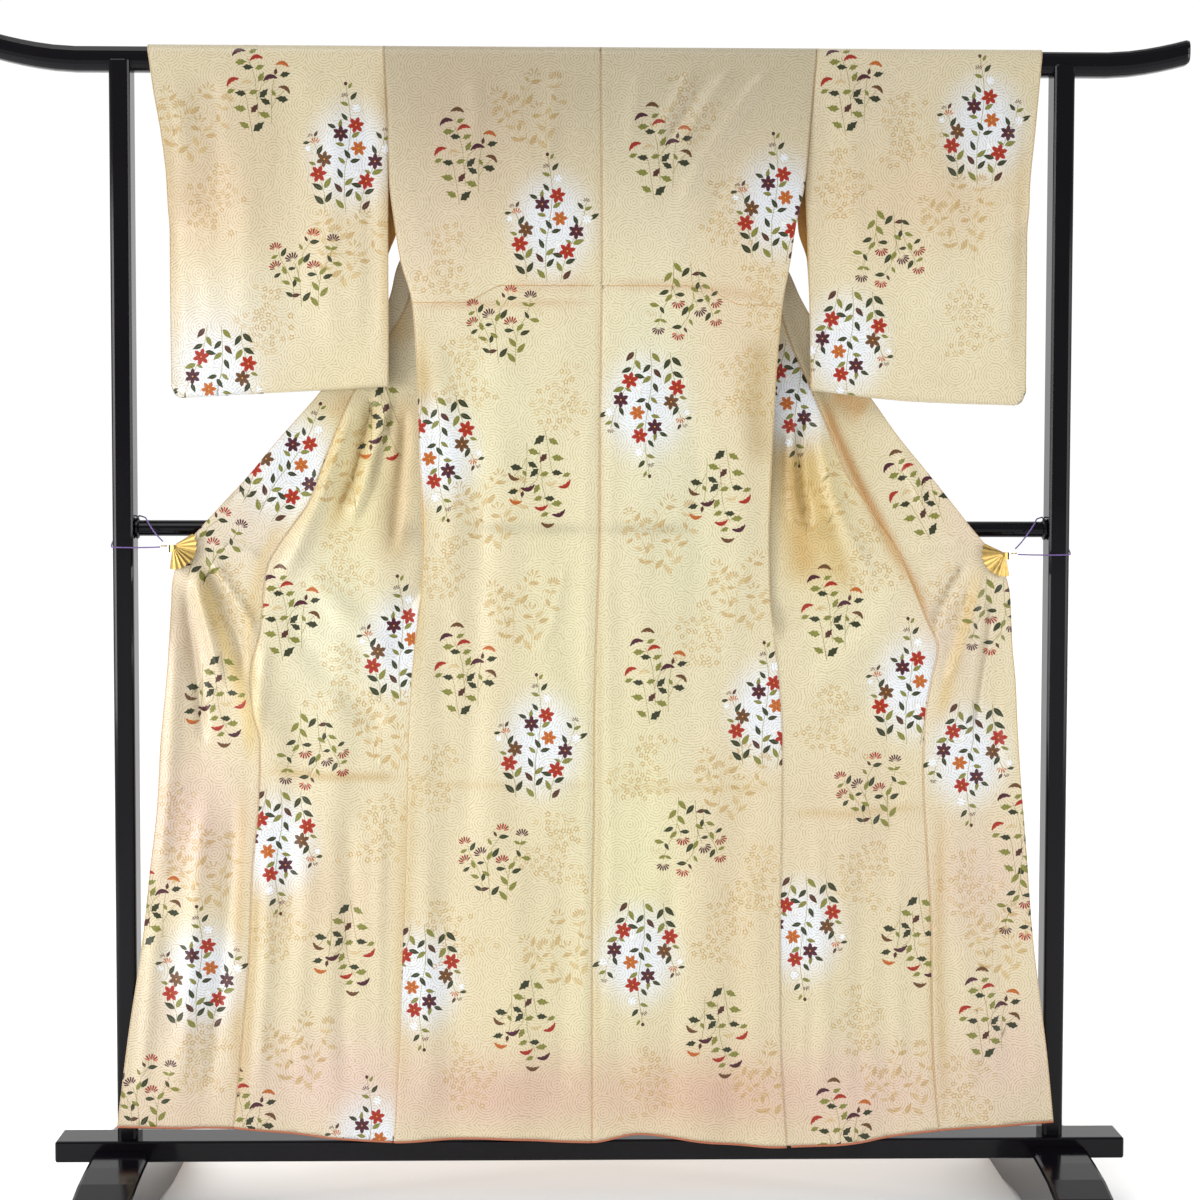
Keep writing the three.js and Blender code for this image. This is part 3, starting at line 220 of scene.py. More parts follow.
# ---------------------------------------------------------------- creases
# A crease is a line of frame points, its width and height in mm, and its kind: 0 a soft ridge, 1 a pointed ridge,
# 2 a step whose left side, going along the line, stands nearer the eye. Height below 0 makes a trough.
CREASES = {
    'back': [
        ([(596, 774), (540, 779), (470, 772), (415, 778)], 5.0, 1.3, 2),
        ([(780, 782), (720, 776), (660, 781), (602, 776)], 5.0, 1.1, 2),
        ([(567, 556), (559, 600), (552, 628), (536, 660)], 5.0, 1.6, 1),
        ([(708, 40), (680, 92), (652, 146)], 9, 2.6, 0), ([(752, 40), (712, 96), (672, 156)], 8, 2.4, 0),
        ([(786, 48), (744, 102), (702, 162), (672, 222)], 10, 2.8, 0), ([(730, 40), (696, 94), (662, 148)], 7, -2.0, 0),
        ([(804, 70), (766, 118), (732, 172), (700, 240)], 11, -2.4, 0),
        ([(640, 58), (636, 96), (628, 150)], 9, 1.2, 0), ([(560, 62), (552, 110), (548, 170)], 12, 1.3, 0),
        ([(470, 60), (476, 110), (470, 180)], 14, 1.4, 0), ([(428, 62), (432, 120), (424, 200)], 12, -1.2, 0),
        ([(418, 300), (440, 380), (452, 500), (446, 640)], 18, 2.2, 0),
        ([(500, 300), (498, 420), (506, 560), (500, 700)], 26, 2.0, 0),
        ([(474, 420), (478, 560), (470, 720), (462, 900)], 18, -2.0, 0),
        ([(560, 400), (556, 520), (562, 700)], 22, -1.4, 0),
        ([(640, 320), (646, 460), (640, 600), (650, 760)], 22, 1.9, 0),
        ([(692, 340), (700, 500), (694, 680), (702, 900)], 20, -2.0, 0),
        ([(738, 320), (742, 470), (736, 640), (744, 820)], 20, 2.2, 0),
        ([(520, 800), (516, 930), (522, 1120)], 22, 1.8, 0), ([(560, 830), (566, 960), (560, 1130)], 16, -1.8, 0),
        ([(640, 860), (636, 980), (644, 1130)], 18, 1.9, 0), ([(668, 840), (674, 980), (668, 1130)], 15, -1.8, 0),
        ([(430, 820), (426, 960), (432, 1120)], 18, 2.2, 0), ([(748, 830), (754, 980), (750, 1130)], 18, 2.0, 0),
        ([(606, 300), (612, 420), (608, 600), (612, 900), (606, 1120)], 9, 1.0, 0),
        ([(590, 320), (586, 500), (588, 800), (584, 1120)], 9, 0.9, 0),
        ([(404, 310), (438, 300), (470, 306)], 7, 0.9, 0), ([(770, 306), (738, 300), (706, 308)], 7, 0.9, 0),
    ],
    'left_front': [
        ([(352, 530), (368, 488), (378, 450), (386, 420), (394, 388)], 3.4, 5.0, 2),
        ([(372, 388), (366, 425), (356, 470), (338, 520)], 8, -4.5, 0),
        ([(348, 400), (338, 440), (322, 490), (300, 545), (276, 590)], 12, 4.0, 0),
        ([(404, 400), (402, 450), (396, 510), (390, 560)], 8, -3.2, 0),
        ([(330, 430), (312, 480), (290, 530)], 9, -3.0, 0),
        ([(300, 560), (330, 600), (372, 640), (404, 668)], 17, 2.4, 0),
        ([(280, 600), (310, 650), (352, 700), (400, 744)], 18, -2.0, 0),
        ([(266, 640), (262, 700), (252, 752)], 9, 2.4, 0),
        ([(404, 770), (372, 765), (320, 769), (262, 763)], 5.5, 2.0, 2),
        ([(300, 790), (306, 900), (298, 1010), (306, 1120)], 17, 2.5, 0),
        ([(345, 780), (350, 900), (342, 1020), (348, 1120)], 15, -2.4, 0),
        ([(385, 800), (382, 930), (388, 1120)], 11, 2.0, 0), ([(270, 820), (268, 940), (258, 1110)], 10, 1.8, 0),
    ],
    'left_okumi': [
        ([(194, 560), (202, 598), (212, 640), (224, 690)], 7, 4.4, 0),
        ([(186, 570), (188, 620), (196, 680), (204, 750)], 8, -4.2, 0),
        ([(205, 552), (226, 584), (250, 620), (262, 650)], 8, 3.0, 0),
        ([(200, 556), (216, 592), (236, 636), (248, 690)], 8, -3.4, 0),
        ([(206, 540), (232, 548), (262, 556)], 7, 2.0, 0), ([(215, 500), (245, 494), (276, 500)], 10, -1.6, 0),
        ([(178, 600), (176, 680), (170, 780), (160, 900)], 10, 2.6, 0),
        ([(210, 760), (200, 870), (190, 990), (180, 1110)], 14, 2.4, 0),
        ([(235, 780), (228, 900), (216, 1020), (208, 1120)], 12, -2.4, 0),
        ([(160, 900), (150, 1000), (140, 1110)], 10, 1.8, 0), ([(245, 768), (200, 764), (160, 770)], 5.0, 1.4, 2),
    ],
    'right_front': [
        ([(806, 398), (800, 440), (802, 490), (812, 540)], 7, -4.0, 0),
        ([(824, 394), (822, 440), (832, 490), (850, 540), (880, 590)], 9, 4.2, 0),
        ([(838, 400), (852, 450), (872, 505), (900, 560)], 7, -4.6, 0),
        ([(788, 420), (790, 470), (796, 540)], 6, 2.4, 0),
        ([(900, 575), (880, 620), (846, 660), (800, 690)], 18, 2.6, 0),
        ([(924, 620), (900, 665), (866, 706), (812, 742)], 17, -2.2, 0),
        ([(930, 798), (880, 797), (830, 804), (786, 799)], 5.5, 2.2, 2),
        ([(820, 800), (816, 900), (824, 1010), (818, 1120)], 15, 2.4, 0),
        ([(858, 830), (862, 920), (856, 1020), (862, 1120)], 14, -2.4, 0),
        ([(898, 820), (894, 930), (900, 1110)], 13, 2.2, 0), ([(800, 820), (802, 950), (798, 1120)], 9, 1.8, 0),
    ],
    'right_okumi': [
        ([(982, 566), (974, 604), (962, 644), (944, 690)], 7, 4.2, 0),
        ([(990, 570), (988, 620), (980, 680), (972, 750)], 8, -4.0, 0),
        ([(972, 556), (952, 588), (934, 620), (926, 650)], 8, -3.2, 0),
        ([(968, 542), (938, 546), (910, 550)], 7, 2.0, 0), ([(900, 440), (915, 480), (930, 520)], 8, 2.0, 0),
        ([(1000, 600), (1004, 690), (1008, 800)], 10, 2.6, 0),
        ([(950, 800), (956, 900), (966, 1000), (972, 1110)], 14, 2.4, 0),
        ([(985, 780), (990, 900), (1002, 1010), (1010, 1120)], 12, -2.4, 0),
        ([(1020, 900), (1030, 1000), (1038, 1100)], 9, 1.8, 0), ([(1012, 802), (970, 796), (930, 800)], 5.0, 1.4, 2),
    ],
    'left_sleeve': [
        ([(176, 60), (180, 150), (176, 260), (182, 380)], 16, 2.2, 0), ([(205, 58), (214, 150), (206, 280)], 16, -1.8, 0),
        ([(240, 120), (246, 220), (240, 340)], 22, 2.0, 0), ([(290, 60), (284, 160), (292, 280), (286, 372)], 20, -1.6, 0),
        ([(330, 56), (334, 150), (326, 260), (332, 370)], 17, 2.0, 0), ([(362, 60), (366, 170), (372, 280), (366, 370)], 12, -1.4, 0),
        ([(190, 384), (240, 378), (300, 382)], 5, 1.0, 0), ([(160, 200), (230, 206), (300, 198)], 4, 0.5, 1),
    ],
    'right_sleeve': [
        ([(1010, 66), (1004, 160), (1008, 270), (1002, 380)], 15, 2.2, 0), ([(980, 60), (972, 160), (980, 280)], 15, -1.8, 0),
        ([(940, 110), (936, 220), (944, 330)], 21, 2.0, 0), ([(900, 60), (906, 170), (898, 280), (904, 375)], 18, -1.6, 0),
        ([(856, 58), (852, 150), (860, 260), (854, 370)], 16, 2.0, 0), ([(828, 60), (824, 170), (822, 280), (828, 370)], 11, -1.4, 0),
        ([(860, 388), (920, 384), (980, 390)], 5, 1.0, 0), ([(1030, 204), (960, 208), (900, 200)], 4, 0.5, 1),
    ],
}
for _key in CREASES:
    CREASES[_key] = [([at(*p) for p in pts], w, a, k) for pts, w, a, k in CREASES[_key]]


GAIN = dict(back=1.9, left_front=2.5, right_front=2.5, left_okumi=2.5, right_okumi=2.5, left_sleeve=1.8, right_sleeve=1.8)


def crease_height(key, x, z):
    """Height towards the eye, in mm, of a list of creases at x, z."""
    total = np.zeros_like(x)
    for pts, w, a, kind in CREASES[key]:
        best = np.full_like(x, 1e9); sign = np.ones_like(x); along = np.zeros_like(x)
        lens = [math.dist(pts[i], pts[i + 1]) for i in range(len(pts) - 1)]
        full, done = sum(lens), 0.0
        for (x0, z0), (x1, z1), ln in zip(pts, pts[1:], lens):
            dx, dz = (x1 - x0) / ln, (z1 - z0) / ln
            t = np.clip((x - x0) * dx + (z - z0) * dz, 0, ln)
            ox, oz = x - x0 - t * dx, z - z0 - t * dz
            d = np.hypot(ox, oz)
            hit = d < best
            best = np.where(hit, d, best); along = np.where(hit, (done + t) / full, along)
            sign = np.where(hit, np.sign(dx * oz - dz * ox), sign)
            done += ln
        q = best / w
        shape = np.exp(-q * q) if kind == 0 else (np.exp(-(np.sqrt(q * q + 0.09) - 0.3)) if kind == 1 else 0.5 * np.tanh(sign * q) * np.exp(-(q / 5) ** 2))
        total += GAIN.get(key, 1.0) * a * soft(0, 0.22, along) * soft(1, 0.78, along) * shape
    return total


_w = [(RNG.uniform(0.6, 1.4), RNG.uniform(0, 6.28), RNG.uniform(-0.5, 0.5), RNG.uniform(0, 6.28)) for _ in range(14)]


def breath(x, z, seed):
    """Very low, smooth unevenness of hanging silk."""
    y = np.zeros_like(x)
    for k, (f, p, sl, p2) in enumerate(_w):
        lam = (190, 120, 82, 56)[k % 4] * f
        amp = (0.55, 0.4, 0.22, 0.12)[k % 4]
        y += amp * np.sin((x + sl * z) * 6.283 / lam + p + seed) * np.cos((z * 0.42 - sl * x) * 6.283 / lam + p2 + 1.7 * seed)
    return y * 0.8


# ---------------------------------------------------------------- the print, the dye and the painted shade
def srgb(r, g, b):
    return np.array([(c / 255 / 12.92) if c / 255 <= 0.04045 else ((c / 255 + 0.055) / 1.055) ** 2.4 for c in (r, g, b)])


# the edge ink is painted shade along the panels' side edges
INK = {k: srgb(*v) for k, v in dict(
    dark=(38, 42, 12), dark2=(54, 62, 34), olive=(112, 112, 46), olive2=(128, 124, 62), bark=(68, 30, 18), red=(148, 32, 4), red2=(100, 16, 4),
    orange=(166, 88, 26), orange2=(136, 66, 20), tan=(92, 58, 24), tan2=(62, 36, 16), plum=(66, 12, 30), plum2=(34, 6, 16),
    salmon=(178, 64, 38), white=(207, 210, 215), line=(180, 168, 130), ghost=(166, 136, 76), ghost2=(176, 148, 90), stem=(138, 130, 78),
    spot=(206, 140, 48), seam=(176, 138, 84), edge=(160, 122, 72), vein=(110, 118, 70)).items()}
FAINT = dict(ghost=0.68, ghost2=0.54, line=0.62, seam=0.8, edge=0.5)
DEEP = dict(red='red2', orange='orange2', tan='tan2', plum='plum2', salmon='red')


def star(x, y, r, ink, turn=0.0, out=None):
    a = np.radians(turn) + np.arange(24) * math.pi / 12
    rad = np.tile([1.06, 0.83, 0.55, 0.83], 6) * r
    ang = a + np.tile([0, 0.02, 0, -0.02], 6)
    ring = np.c_[x + rad * np.cos(ang), y + rad * np.sin(ang)]
    if ink == 'white':
        out.append((ring, 'line'))
        out.append((np.c_[x + 0.84 * rad * np.cos(ang), y + 0.84 * rad * np.sin(ang)], 'white'))
        return
    out.append((ring, ink))
    for k in range(6):
        t = np.radians(turn) + k * math.pi / 3
        c, s_ = math.cos(t), math.sin(t)
        w = 0.055 * r
        out.append((np.array([[x + 0.16 * r * c - w * s_, y + 0.16 * r * s_ + w * c], [x + 0.16 * r * c + w * s_, y + 0.16 * r * s_ - w * c],
                              [x + 0.8 * r * c, y + 0.8 * r * s_]]), DEEP.get(ink, ink)))
    a = np.arange(6) * math.pi / 3
    out.append((np.c_[x + 0.1 * r * np.cos(a), y + 0.1 * r * np.sin(a)], 'spot'))


def leaf(x, y, ln, deg, ink, out, wide=0.44):
    ln = ln * 1.24
    t = np.array([-1, -0.72, -0.3, 0.15, 0.6, 1.0])
    w = np.array([0, 0.62, 0.98, 0.9, 0.48, 0]) * wide * ln / 2
    top = np.c_[t * ln / 2, w]; bot = np.c_[t[1:-1] * ln / 2, -w[1:-1]][::-1]
    p = np.vstack([top, bot]); a = math.radians(deg); c, s_ = math.cos(a), math.sin(a)
    R = np.array([[c, s_], [-s_, c]])
    out.append((p @ R + [x, y], ink))
    if ink not in ('ghost', 'ghost2'):
        q = np.array([[-ln * 0.5, 0.22], [-ln * 0.5, -0.22], [ln * 0.34, 0.0]])
        out.append((q @ R + [x, y], 'vein' if ink.startswith('dark') or ink == 'bark' else 'olive2'))


def lobed(x, y, ln, deg, ink, out):
    ln = ln * 1.18
    p = np.array([[-0.5, 0], [-0.3, 0.13], [-0.12, 0.29], [0.02, 0.2], [0.16, 0.24], [0.27, 0.12], [0.55, 0.02], [0.25, -0.12],
                  [0.12, -0.25], [-0.02, -0.19], [-0.18, -0.28], [-0.32, -0.12]]) * ln
    a = math.radians(deg); c, s_ = math.cos(a), math.sin(a)
    out.append((p @ np.array([[c, s_], [-s_, c]]) + [x, y], ink))


def cap(x, y, w, deg, ink, out):
    w = w * 0.86
    t = np.linspace(-1, 1, 9)
    top = np.c_[t * w / 2, (1 - t ** 2) * w * 0.34]
    b = np.linspace(0.92, -0.92, 8)
    bot = np.c_[b * w / 2, (1 - b ** 2) * w * 0.11 - w * 0.06 - np.tile([0.0, w * 0.045], 4)]
    p = np.vstack([top, bot]); a = math.radians(deg); c, s_ = math.cos(a), math.sin(a)
    R = np.array([[c, s_], [-s_, c]])
    if ink == 'white':
        out.append((p @ R * 1.0 + [x, y], 'line')); out.append((p @ R * 0.86 + [x, y + 0.2], 'ghost2')); return
    out.append((p @ R + [x, y], ink))
    t = np.linspace(-0.8, 0.8, 6)
    q = np.vstack([np.c_[t * w / 2, (1 - t ** 2) * w * 0.24], np.c_[t[::-1] * w / 2, (1 - t ** 2) * w * 0.24 - w * 0.035]])
    out.append((q @ R + [x, y], DEEP.get(ink, ink)))


def fan(x, y, r, deg, inks, out, n=7, spread=150):
    for k in range(n):
        a = math.radians(deg - spread / 2 + spread * k / (n - 1))
        c, s_ = math.cos(a), math.sin(a)
        rr = r * (1.0 if 0 < k < n - 1 else 0.86)
        p = np.array([[0.22, 0], [0.5, 0.075], [0.86, 0.10], [1.0, 0], [0.86, -0.10], [0.5, -0.075]]) * rr
        out.append((p @ np.array([[c, s_], [-s_, c]]) + [x, y], inks[k % len(inks)]))


def stem(pts, out, ink='stem', w=0.42):
    p = np.array(pts, float)
    d = np.gradient(p, axis=0); d /= np.linalg.norm(d, axis=1)[:, None]
    n = np.c_[-d[:, 1], d[:, 0]] * w
    out.append((np.vstack([p + n, (p - n)[::-1]]), ink))


K = 0.2874  # mm for one unit of the sprays' drawing below, whose y runs down


def bell():
    o = []
    u = lambda pts: [((x - 705) * K, (655 - y) * K) for x, y in pts]
    for s_ in ([(680, 968), (673, 870), (676, 765), (690, 690), (702, 600), (708, 520), (700, 450), (690, 390), (684, 342)],
               [(578, 950), (576, 880), (560, 822), (552, 770), (556, 700), (530, 640), (514, 590)],
               [(748, 970), (760, 890), (782, 820), (820, 735), (862, 650), (876, 572)]):
        stem(u(s_), o)
    for x, y, l, d, c in ((722, 395, 40, 50, 'dark'), (675, 497, 38, 130, 'dark'), (612, 543, 38, 155, 'dark'), (553, 660, 44, 58, 'dark'),
                          (688, 680, 44, 122, 'dark'), (727, 712, 42, 15, 'dark'), (652, 775, 44, 115, 'dark'), (540, 840, 50, 150, 'dark'),
                          (547, 905, 54, 138, 'dark'), (597, 893, 50, 60, 'dark'), (698, 870, 46, 48, 'dark'), (732, 832, 46, 165, 'dark'),
                          (798, 862, 46, 25, 'dark'), (822, 657, 40, 115, 'dark'), (846, 587, 36, 132, 'dark'), (916, 640, 44, 30, 'dark'),
                          (487, 625, 30, 10, 'dark'), (534, 581, 28, 60, 'bark'), (705, 344, 28, 60, 'olive'), (675, 433, 36, 160, 'olive'),
                          (655, 530, 36, 80, 'olive'), (652, 633, 38, 168, 'olive'), (660, 712, 38, 138, 'olive'), (731, 584, 42, 35, 'olive'),
                          (592, 822, 52, 58, 'olive'), (514, 726, 32, 160, 'olive'), (698, 815, 46, 40, 'olive'), (650, 925, 50, 132, 'olive'),
                          (787, 765, 30, 150, 'olive'), (838, 766, 50, 20, 'olive'), (740, 888, 46, 115, 'olive'), (888, 600, 34, 25, 'olive'),
                          (643, 846, 48, 130, 'bark'), (781, 930, 50, 50, 'bark')):
        leaf((x - 705) * K, (655 - y) * K, l * K, d, c, o)
    for x, y, r, c, t in ((735, 455, 29, 'white', 10), (880, 655, 30, 'white', 25), (735, 778, 24, 'white', 0), (495, 652, 20, 'white', 5),
                          (732, 537, 40, 'red', 12), (657, 581, 40, 'plum', 30), (744, 651, 38, 'orange', 5), (575, 706, 40, 'tan', 22),
                          (545, 778, 42, 'red', 8), (826, 715, 40, 'plum', 28), (781, 812, 42, 'red', 16)):
        star((x - 705) * K, (655 - y) * K, r * K, c, t, o)
    for x, y, r, d, c in ((530, 620, 30, 95, 'orange'), (678, 392, 22, 100, 'plum'), (876, 560, 22, 85, 'tan'), (508, 586, 18, 110, 'tan')):
        fan((x - 705) * K, (655 - y - 12) * K, r * K * 1.15, d, [c], o, 5, 110)
    a = np.arange(8) * math.pi / 4
    o.append((np.c_[(682 - 705) * K + 9 * K * np.cos(a), (655 - 335) * K + 10 * K * np.sin(a)], 'bark'))
    return o


def caps():
    o = []
    u = lambda pts: [((x - 268) * K, (330 - y) * K) for x, y in pts]
    for s_ in ([(241, 574), (226, 480), (214, 400), (200, 352)], [(270, 480), (262, 380), (256, 300), (240, 240), (216, 190)],
               [(333, 515), (334, 400), (343, 330), (352, 262)], [(263, 400), (285, 330), (330, 290)], [(334, 440), (360, 390), (398, 350)]):
        stem(u(s_), o)
    for x, y, l, d, c in ((220, 238, 46, -5, 'dark'), (403, 272, 46, 12, 'dark'), (183, 366, 48, 172, 'dark'), (297, 366, 52, 45, 'dark'),
                          (305, 405, 48, 150, 'dark'), (387, 392, 54, 170, 'dark'), (271, 530, 60, 40, 'dark'), (185, 213, 50, 4, 'olive'),
                          (245, 158, 38, 22, 'olive'), (278, 238, 42, 20, 'olive'), (285, 286, 46, 60, 'olive'), (136, 356, 38, 20, 'olive'),
                          (247, 360, 42, 15, 'olive'), (345, 363, 32, 120, 'olive'), (180, 440, 54, 170, 'olive'), (300, 470, 52, 160, 'olive'),
                          (201, 522, 50, 150, 'olive'), (252, 440, 48, 50, 'bark'), (357, 258, 30, 80, 'bark')):
        lobed((x - 268) * K, (330 - y) * K, l * K, d, c, o)
    for x, y, w, d, c in ((230, 113, 80, -4, 'tan'), (175, 168, 84, 20, 'plum'), (262, 198, 80, 10, 'red'), (390, 228, 78, -10, 'orange'),
                          (330, 296, 86, 12, 'plum'), (145, 312, 84, 32, 'red'), (399, 348, 76, -30, 'tan'), (214, 318, 74, 5, 'white')):
        cap((x - 268) * K, (330 - y) * K, w * K, d, c, o)
    return o


def daisy():
    o = []
    u = lambda pts: [((x - 470) * K, (1180 - y) * K) for x, y in pts]
    for s_ in ([(408, 1334), (404, 1255), (376, 1190), (342, 1130), (334, 1095)], [(447, 1366), (440, 1270), (432, 1190), (456, 1100), (500, 1040)],
               [(530, 1380), (534, 1275), (546, 1200), (588, 1130), (606, 1062)], [(404, 1255), (380, 1200), (345, 1185)], [(436, 1230), (425, 1180), (412, 1150)],
               [(536, 1250), (524, 1210), (514, 1185)]):
        stem(u(s_), o)
    for x, y, l, d, c in ((360, 1097, 42, 60, 'dark'), (475, 1125, 48, 55, 'dark'), (400, 1178, 32, 10, 'dark'), (500, 1207, 40, 0, 'dark'),
                          (580, 1217, 44, 22, 'dark'), (588, 1130, 34, 120, 'dark'), (413, 1247, 38, 78, 'dark'), (386, 1306, 38, 150, 'dark'),
                          (473, 1317, 50, 50, 'dark'), (515, 1046, 42, 5, 'dark'), (328, 1212, 34, 35, 'dark'), (315, 1121, 32, 28, 'olive'),
                          (444, 1070, 30, 120, 'olive'), (445, 1140, 42, 60, 'olive'), (361, 1186, 38, 112, 'olive'), (369, 1247, 38, 160, 'olive'),
                          (425, 1231, 38, 150, 'olive'), (556, 1190, 42, 45, 'olive'), (626, 1155, 42, 170, 'olive'), (580, 1076, 30, 155, 'olive'),
                          (612, 1078, 32, 20, 'olive'), (516, 1265, 48, 130, 'olive'), (561, 1293, 50, 50, 'olive'), (510, 1340, 50, 130, 'olive'),
                          (420, 1310, 38, 12, 'bark'), (471, 1031, 26, 120, 'bark')):
        leaf((x - 470) * K, (1180 - y) * K, l * K, d, c, o)
    for x, y, r, d, inks in ((322, 1088, 42, 100, ['red', 'red2']), (506, 1020, 44, 82, ['salmon', 'red2']), (606, 1048, 44, 88, ['plum']),
                             (406, 1140, 46, 118, ['plum']), (326, 1180, 44, 122, ['tan', 'red']), (510, 1180, 46, 100, ['red2', 'red'])):
        fan((x - 470) * K, (1180 - y) * K, r * K * 0.98, d, inks, o, 7, 128)
    fan((642 - 470) * K, (1180 - 1128) * K, 36 * K, 75, ['line'], o)
    return o


def blossom(x, y, r, t, ink, out):
    a = t + np.arange(10) * math.pi / 5
    rad = np.where(np.arange(10) % 2 == 0, r, r * 0.6)
    out.append((np.c_[x + rad * np.cos(a), y + rad * np.sin(a)], ink))


def ghosts(seed, kind=0):
    """A faint plume of small five-petalled blossoms, or a faint copy of one of the sprays."""
    r = np.random.default_rng(seed); o = []
    if kind:
        for poly, ink in KINDS['daisy']:
            if ink not in ('spot', 'vein', 'olive2', 'line', 'white', 'red2', 'orange2', 'tan2', 'plum2'):
                o.append((poly * 1.05, 'ghost2' if ink in ('olive', 'stem') else 'ghost'))
        return o
    lean = r.uniform(-16, 16); placed = []
    for _ in range(600):
        t = r.uniform(0, 1)
        wide = 46 * (1 - 0.62 * t) * (0.68 + 0.32 * math.sin(t * 9 + seed))
        x = lean * t * t + r.normal(0, 0.5) * wide; y = mix(-42, 50, t) + r.normal(0, 2)
        if all((x - a) ** 2 + (y - b) ** 2 > 78 for a, b in placed):
            placed.append((x, y)); big, turn = r.uniform(4.3, 5.5), r.uniform(0, 6)
            blossom(x, y, big, turn, 'ghost' if r.uniform() < 0.6 else 'ghost2', o)
            a = turn + np.arange(5) * 2 * math.pi / 5
            o.append((np.c_[x + 0.44 * big * np.cos(a), y + 0.44 * big * np.sin(a)], None))
        if len(placed) > 58:
            break
    return o


KINDS = dict(bell=bell(), caps=caps(), daisy=daisy())
# panel, kind, frame point of the middle, turn in degrees
SPRAYS = [
    ('back_left', 'caps', 465, 155, 0), ('back_left', 'bell', 552, 219, 0), ('back_left', 'daisy', 503, 325, 0), ('back_left', 'bell', 437, 457, 186),
    ('back_left', 'caps', 540, 480, 180), ('back_left', 'caps', 465, 670, 0), ('back_left', 'bell', 541, 738, 0), ('back_left', 'daisy', 495, 862, 0),
    ('back_left', 'bell', 420, 985, 180), ('back_left', 'caps', 525, 1022, 180),
    ('back_right', 'caps', 660, 150, 0), ('back_right', 'bell', 778, 198, 0), ('back_right', 'daisy', 686, 300, 180), ('back_right', 'bell', 645, 412, 180),
    ('back_right', 'caps', 720, 495, 180), ('back_right', 'caps', 655, 675, 0), ('back_right', 'bell', 768, 706, 0), ('back_right', 'daisy', 690, 836, 180),
    ('back_right', 'bell', 638, 960, 180), ('back_right', 'caps', 717, 1030, 180),
    ('sleeve_left', 'caps', 257, 85, 0), ('sleeve_left', 'bell', 350, 148, 0), ('sleeve_left', 'daisy', 305, 268, 0), ('sleeve_left', 'bell', 215, 388, 180),
    ('sleeve_right', 'caps', 852, 85, 0), ('sleeve_right', 'bell', 985, 120, 0), ('sleeve_right', 'daisy', 890, 247, 180), ('sleeve_right', 'bell', 848, 350, 180),
    ('front_left', 'caps', 385, 430, 190), ('front_left', 'caps', 288, 612, 0), ('front_left', 'bell', 404, 640, 2), ('front_left', 'daisy', 313, 750, 180),
    ('front_left', 'bell', 276, 850, 180), ('front_left', 'caps', 345, 948, 180), ('front_left', 'caps', 245, 1112, 0), ('front_left', 'bell', 372, 1138, 0),
    ('overlap_left', 'bell', 292, 462, -28), ('overlap_left', 'daisy', 205, 543, -20), ('overlap_left', 'caps', 216, 700, 180), ('overlap_left', 'caps', 150, 900, 0),
    ('overlap_left', 'bell', 203, 968, 0), ('overlap_left', 'daisy', 145, 1092, 0),
    ('front_right', 'bell', 797, 402, 180), ('front_right', 'caps', 832, 612, 0), ('front_right', 'bell', 912, 682, 0), ('front_right', 'daisy', 872, 792, 8),
    ('front_right', 'bell', 800, 935, 180), ('front_right', 'caps', 912, 940, 180), ('front_right', 'caps', 840, 1122, 0),
    ('overlap_right', 'caps', 920, 492, 20), ('overlap_right', 'daisy', 998, 616, 180), ('overlap_right', 'bell', 967, 762, 180), ('overlap_right', 'caps', 1022, 830, 0),
    ('overlap_right', 'caps', 988, 1012, 0), ('overlap_right', 'daisy', 1032, 900, 180),
    ('rear_left', 'bell', 228, 128, 0), ('rear_left', 'daisy', 335, 118, 0), ('rear_left', 'caps', 282, 226, 180), ('rear_left', 'daisy', 205, 315, 180), ('rear_left', 'bell', 345, 330, 180),
    ('rear_right', 'bell', 968, 122, 0), ('rear_right', 'caps', 862, 112, 0), ('rear_right', 'daisy', 915, 222, 180), ('rear_right', 'caps', 985, 305, 180), ('rear_right', 'bell', 862, 322, 180),
    ('front_left', 'caps', 590, 108, 0), ('front_left', 'daisy', 548, 190, 180), ('front_left', 'bell', 500, 285, 180), ('front_right', 'caps', 612, 112, 0), ('front_right', 'bell', 652, 192, 0), ('front_right', 'daisy', 700, 292, 180)]
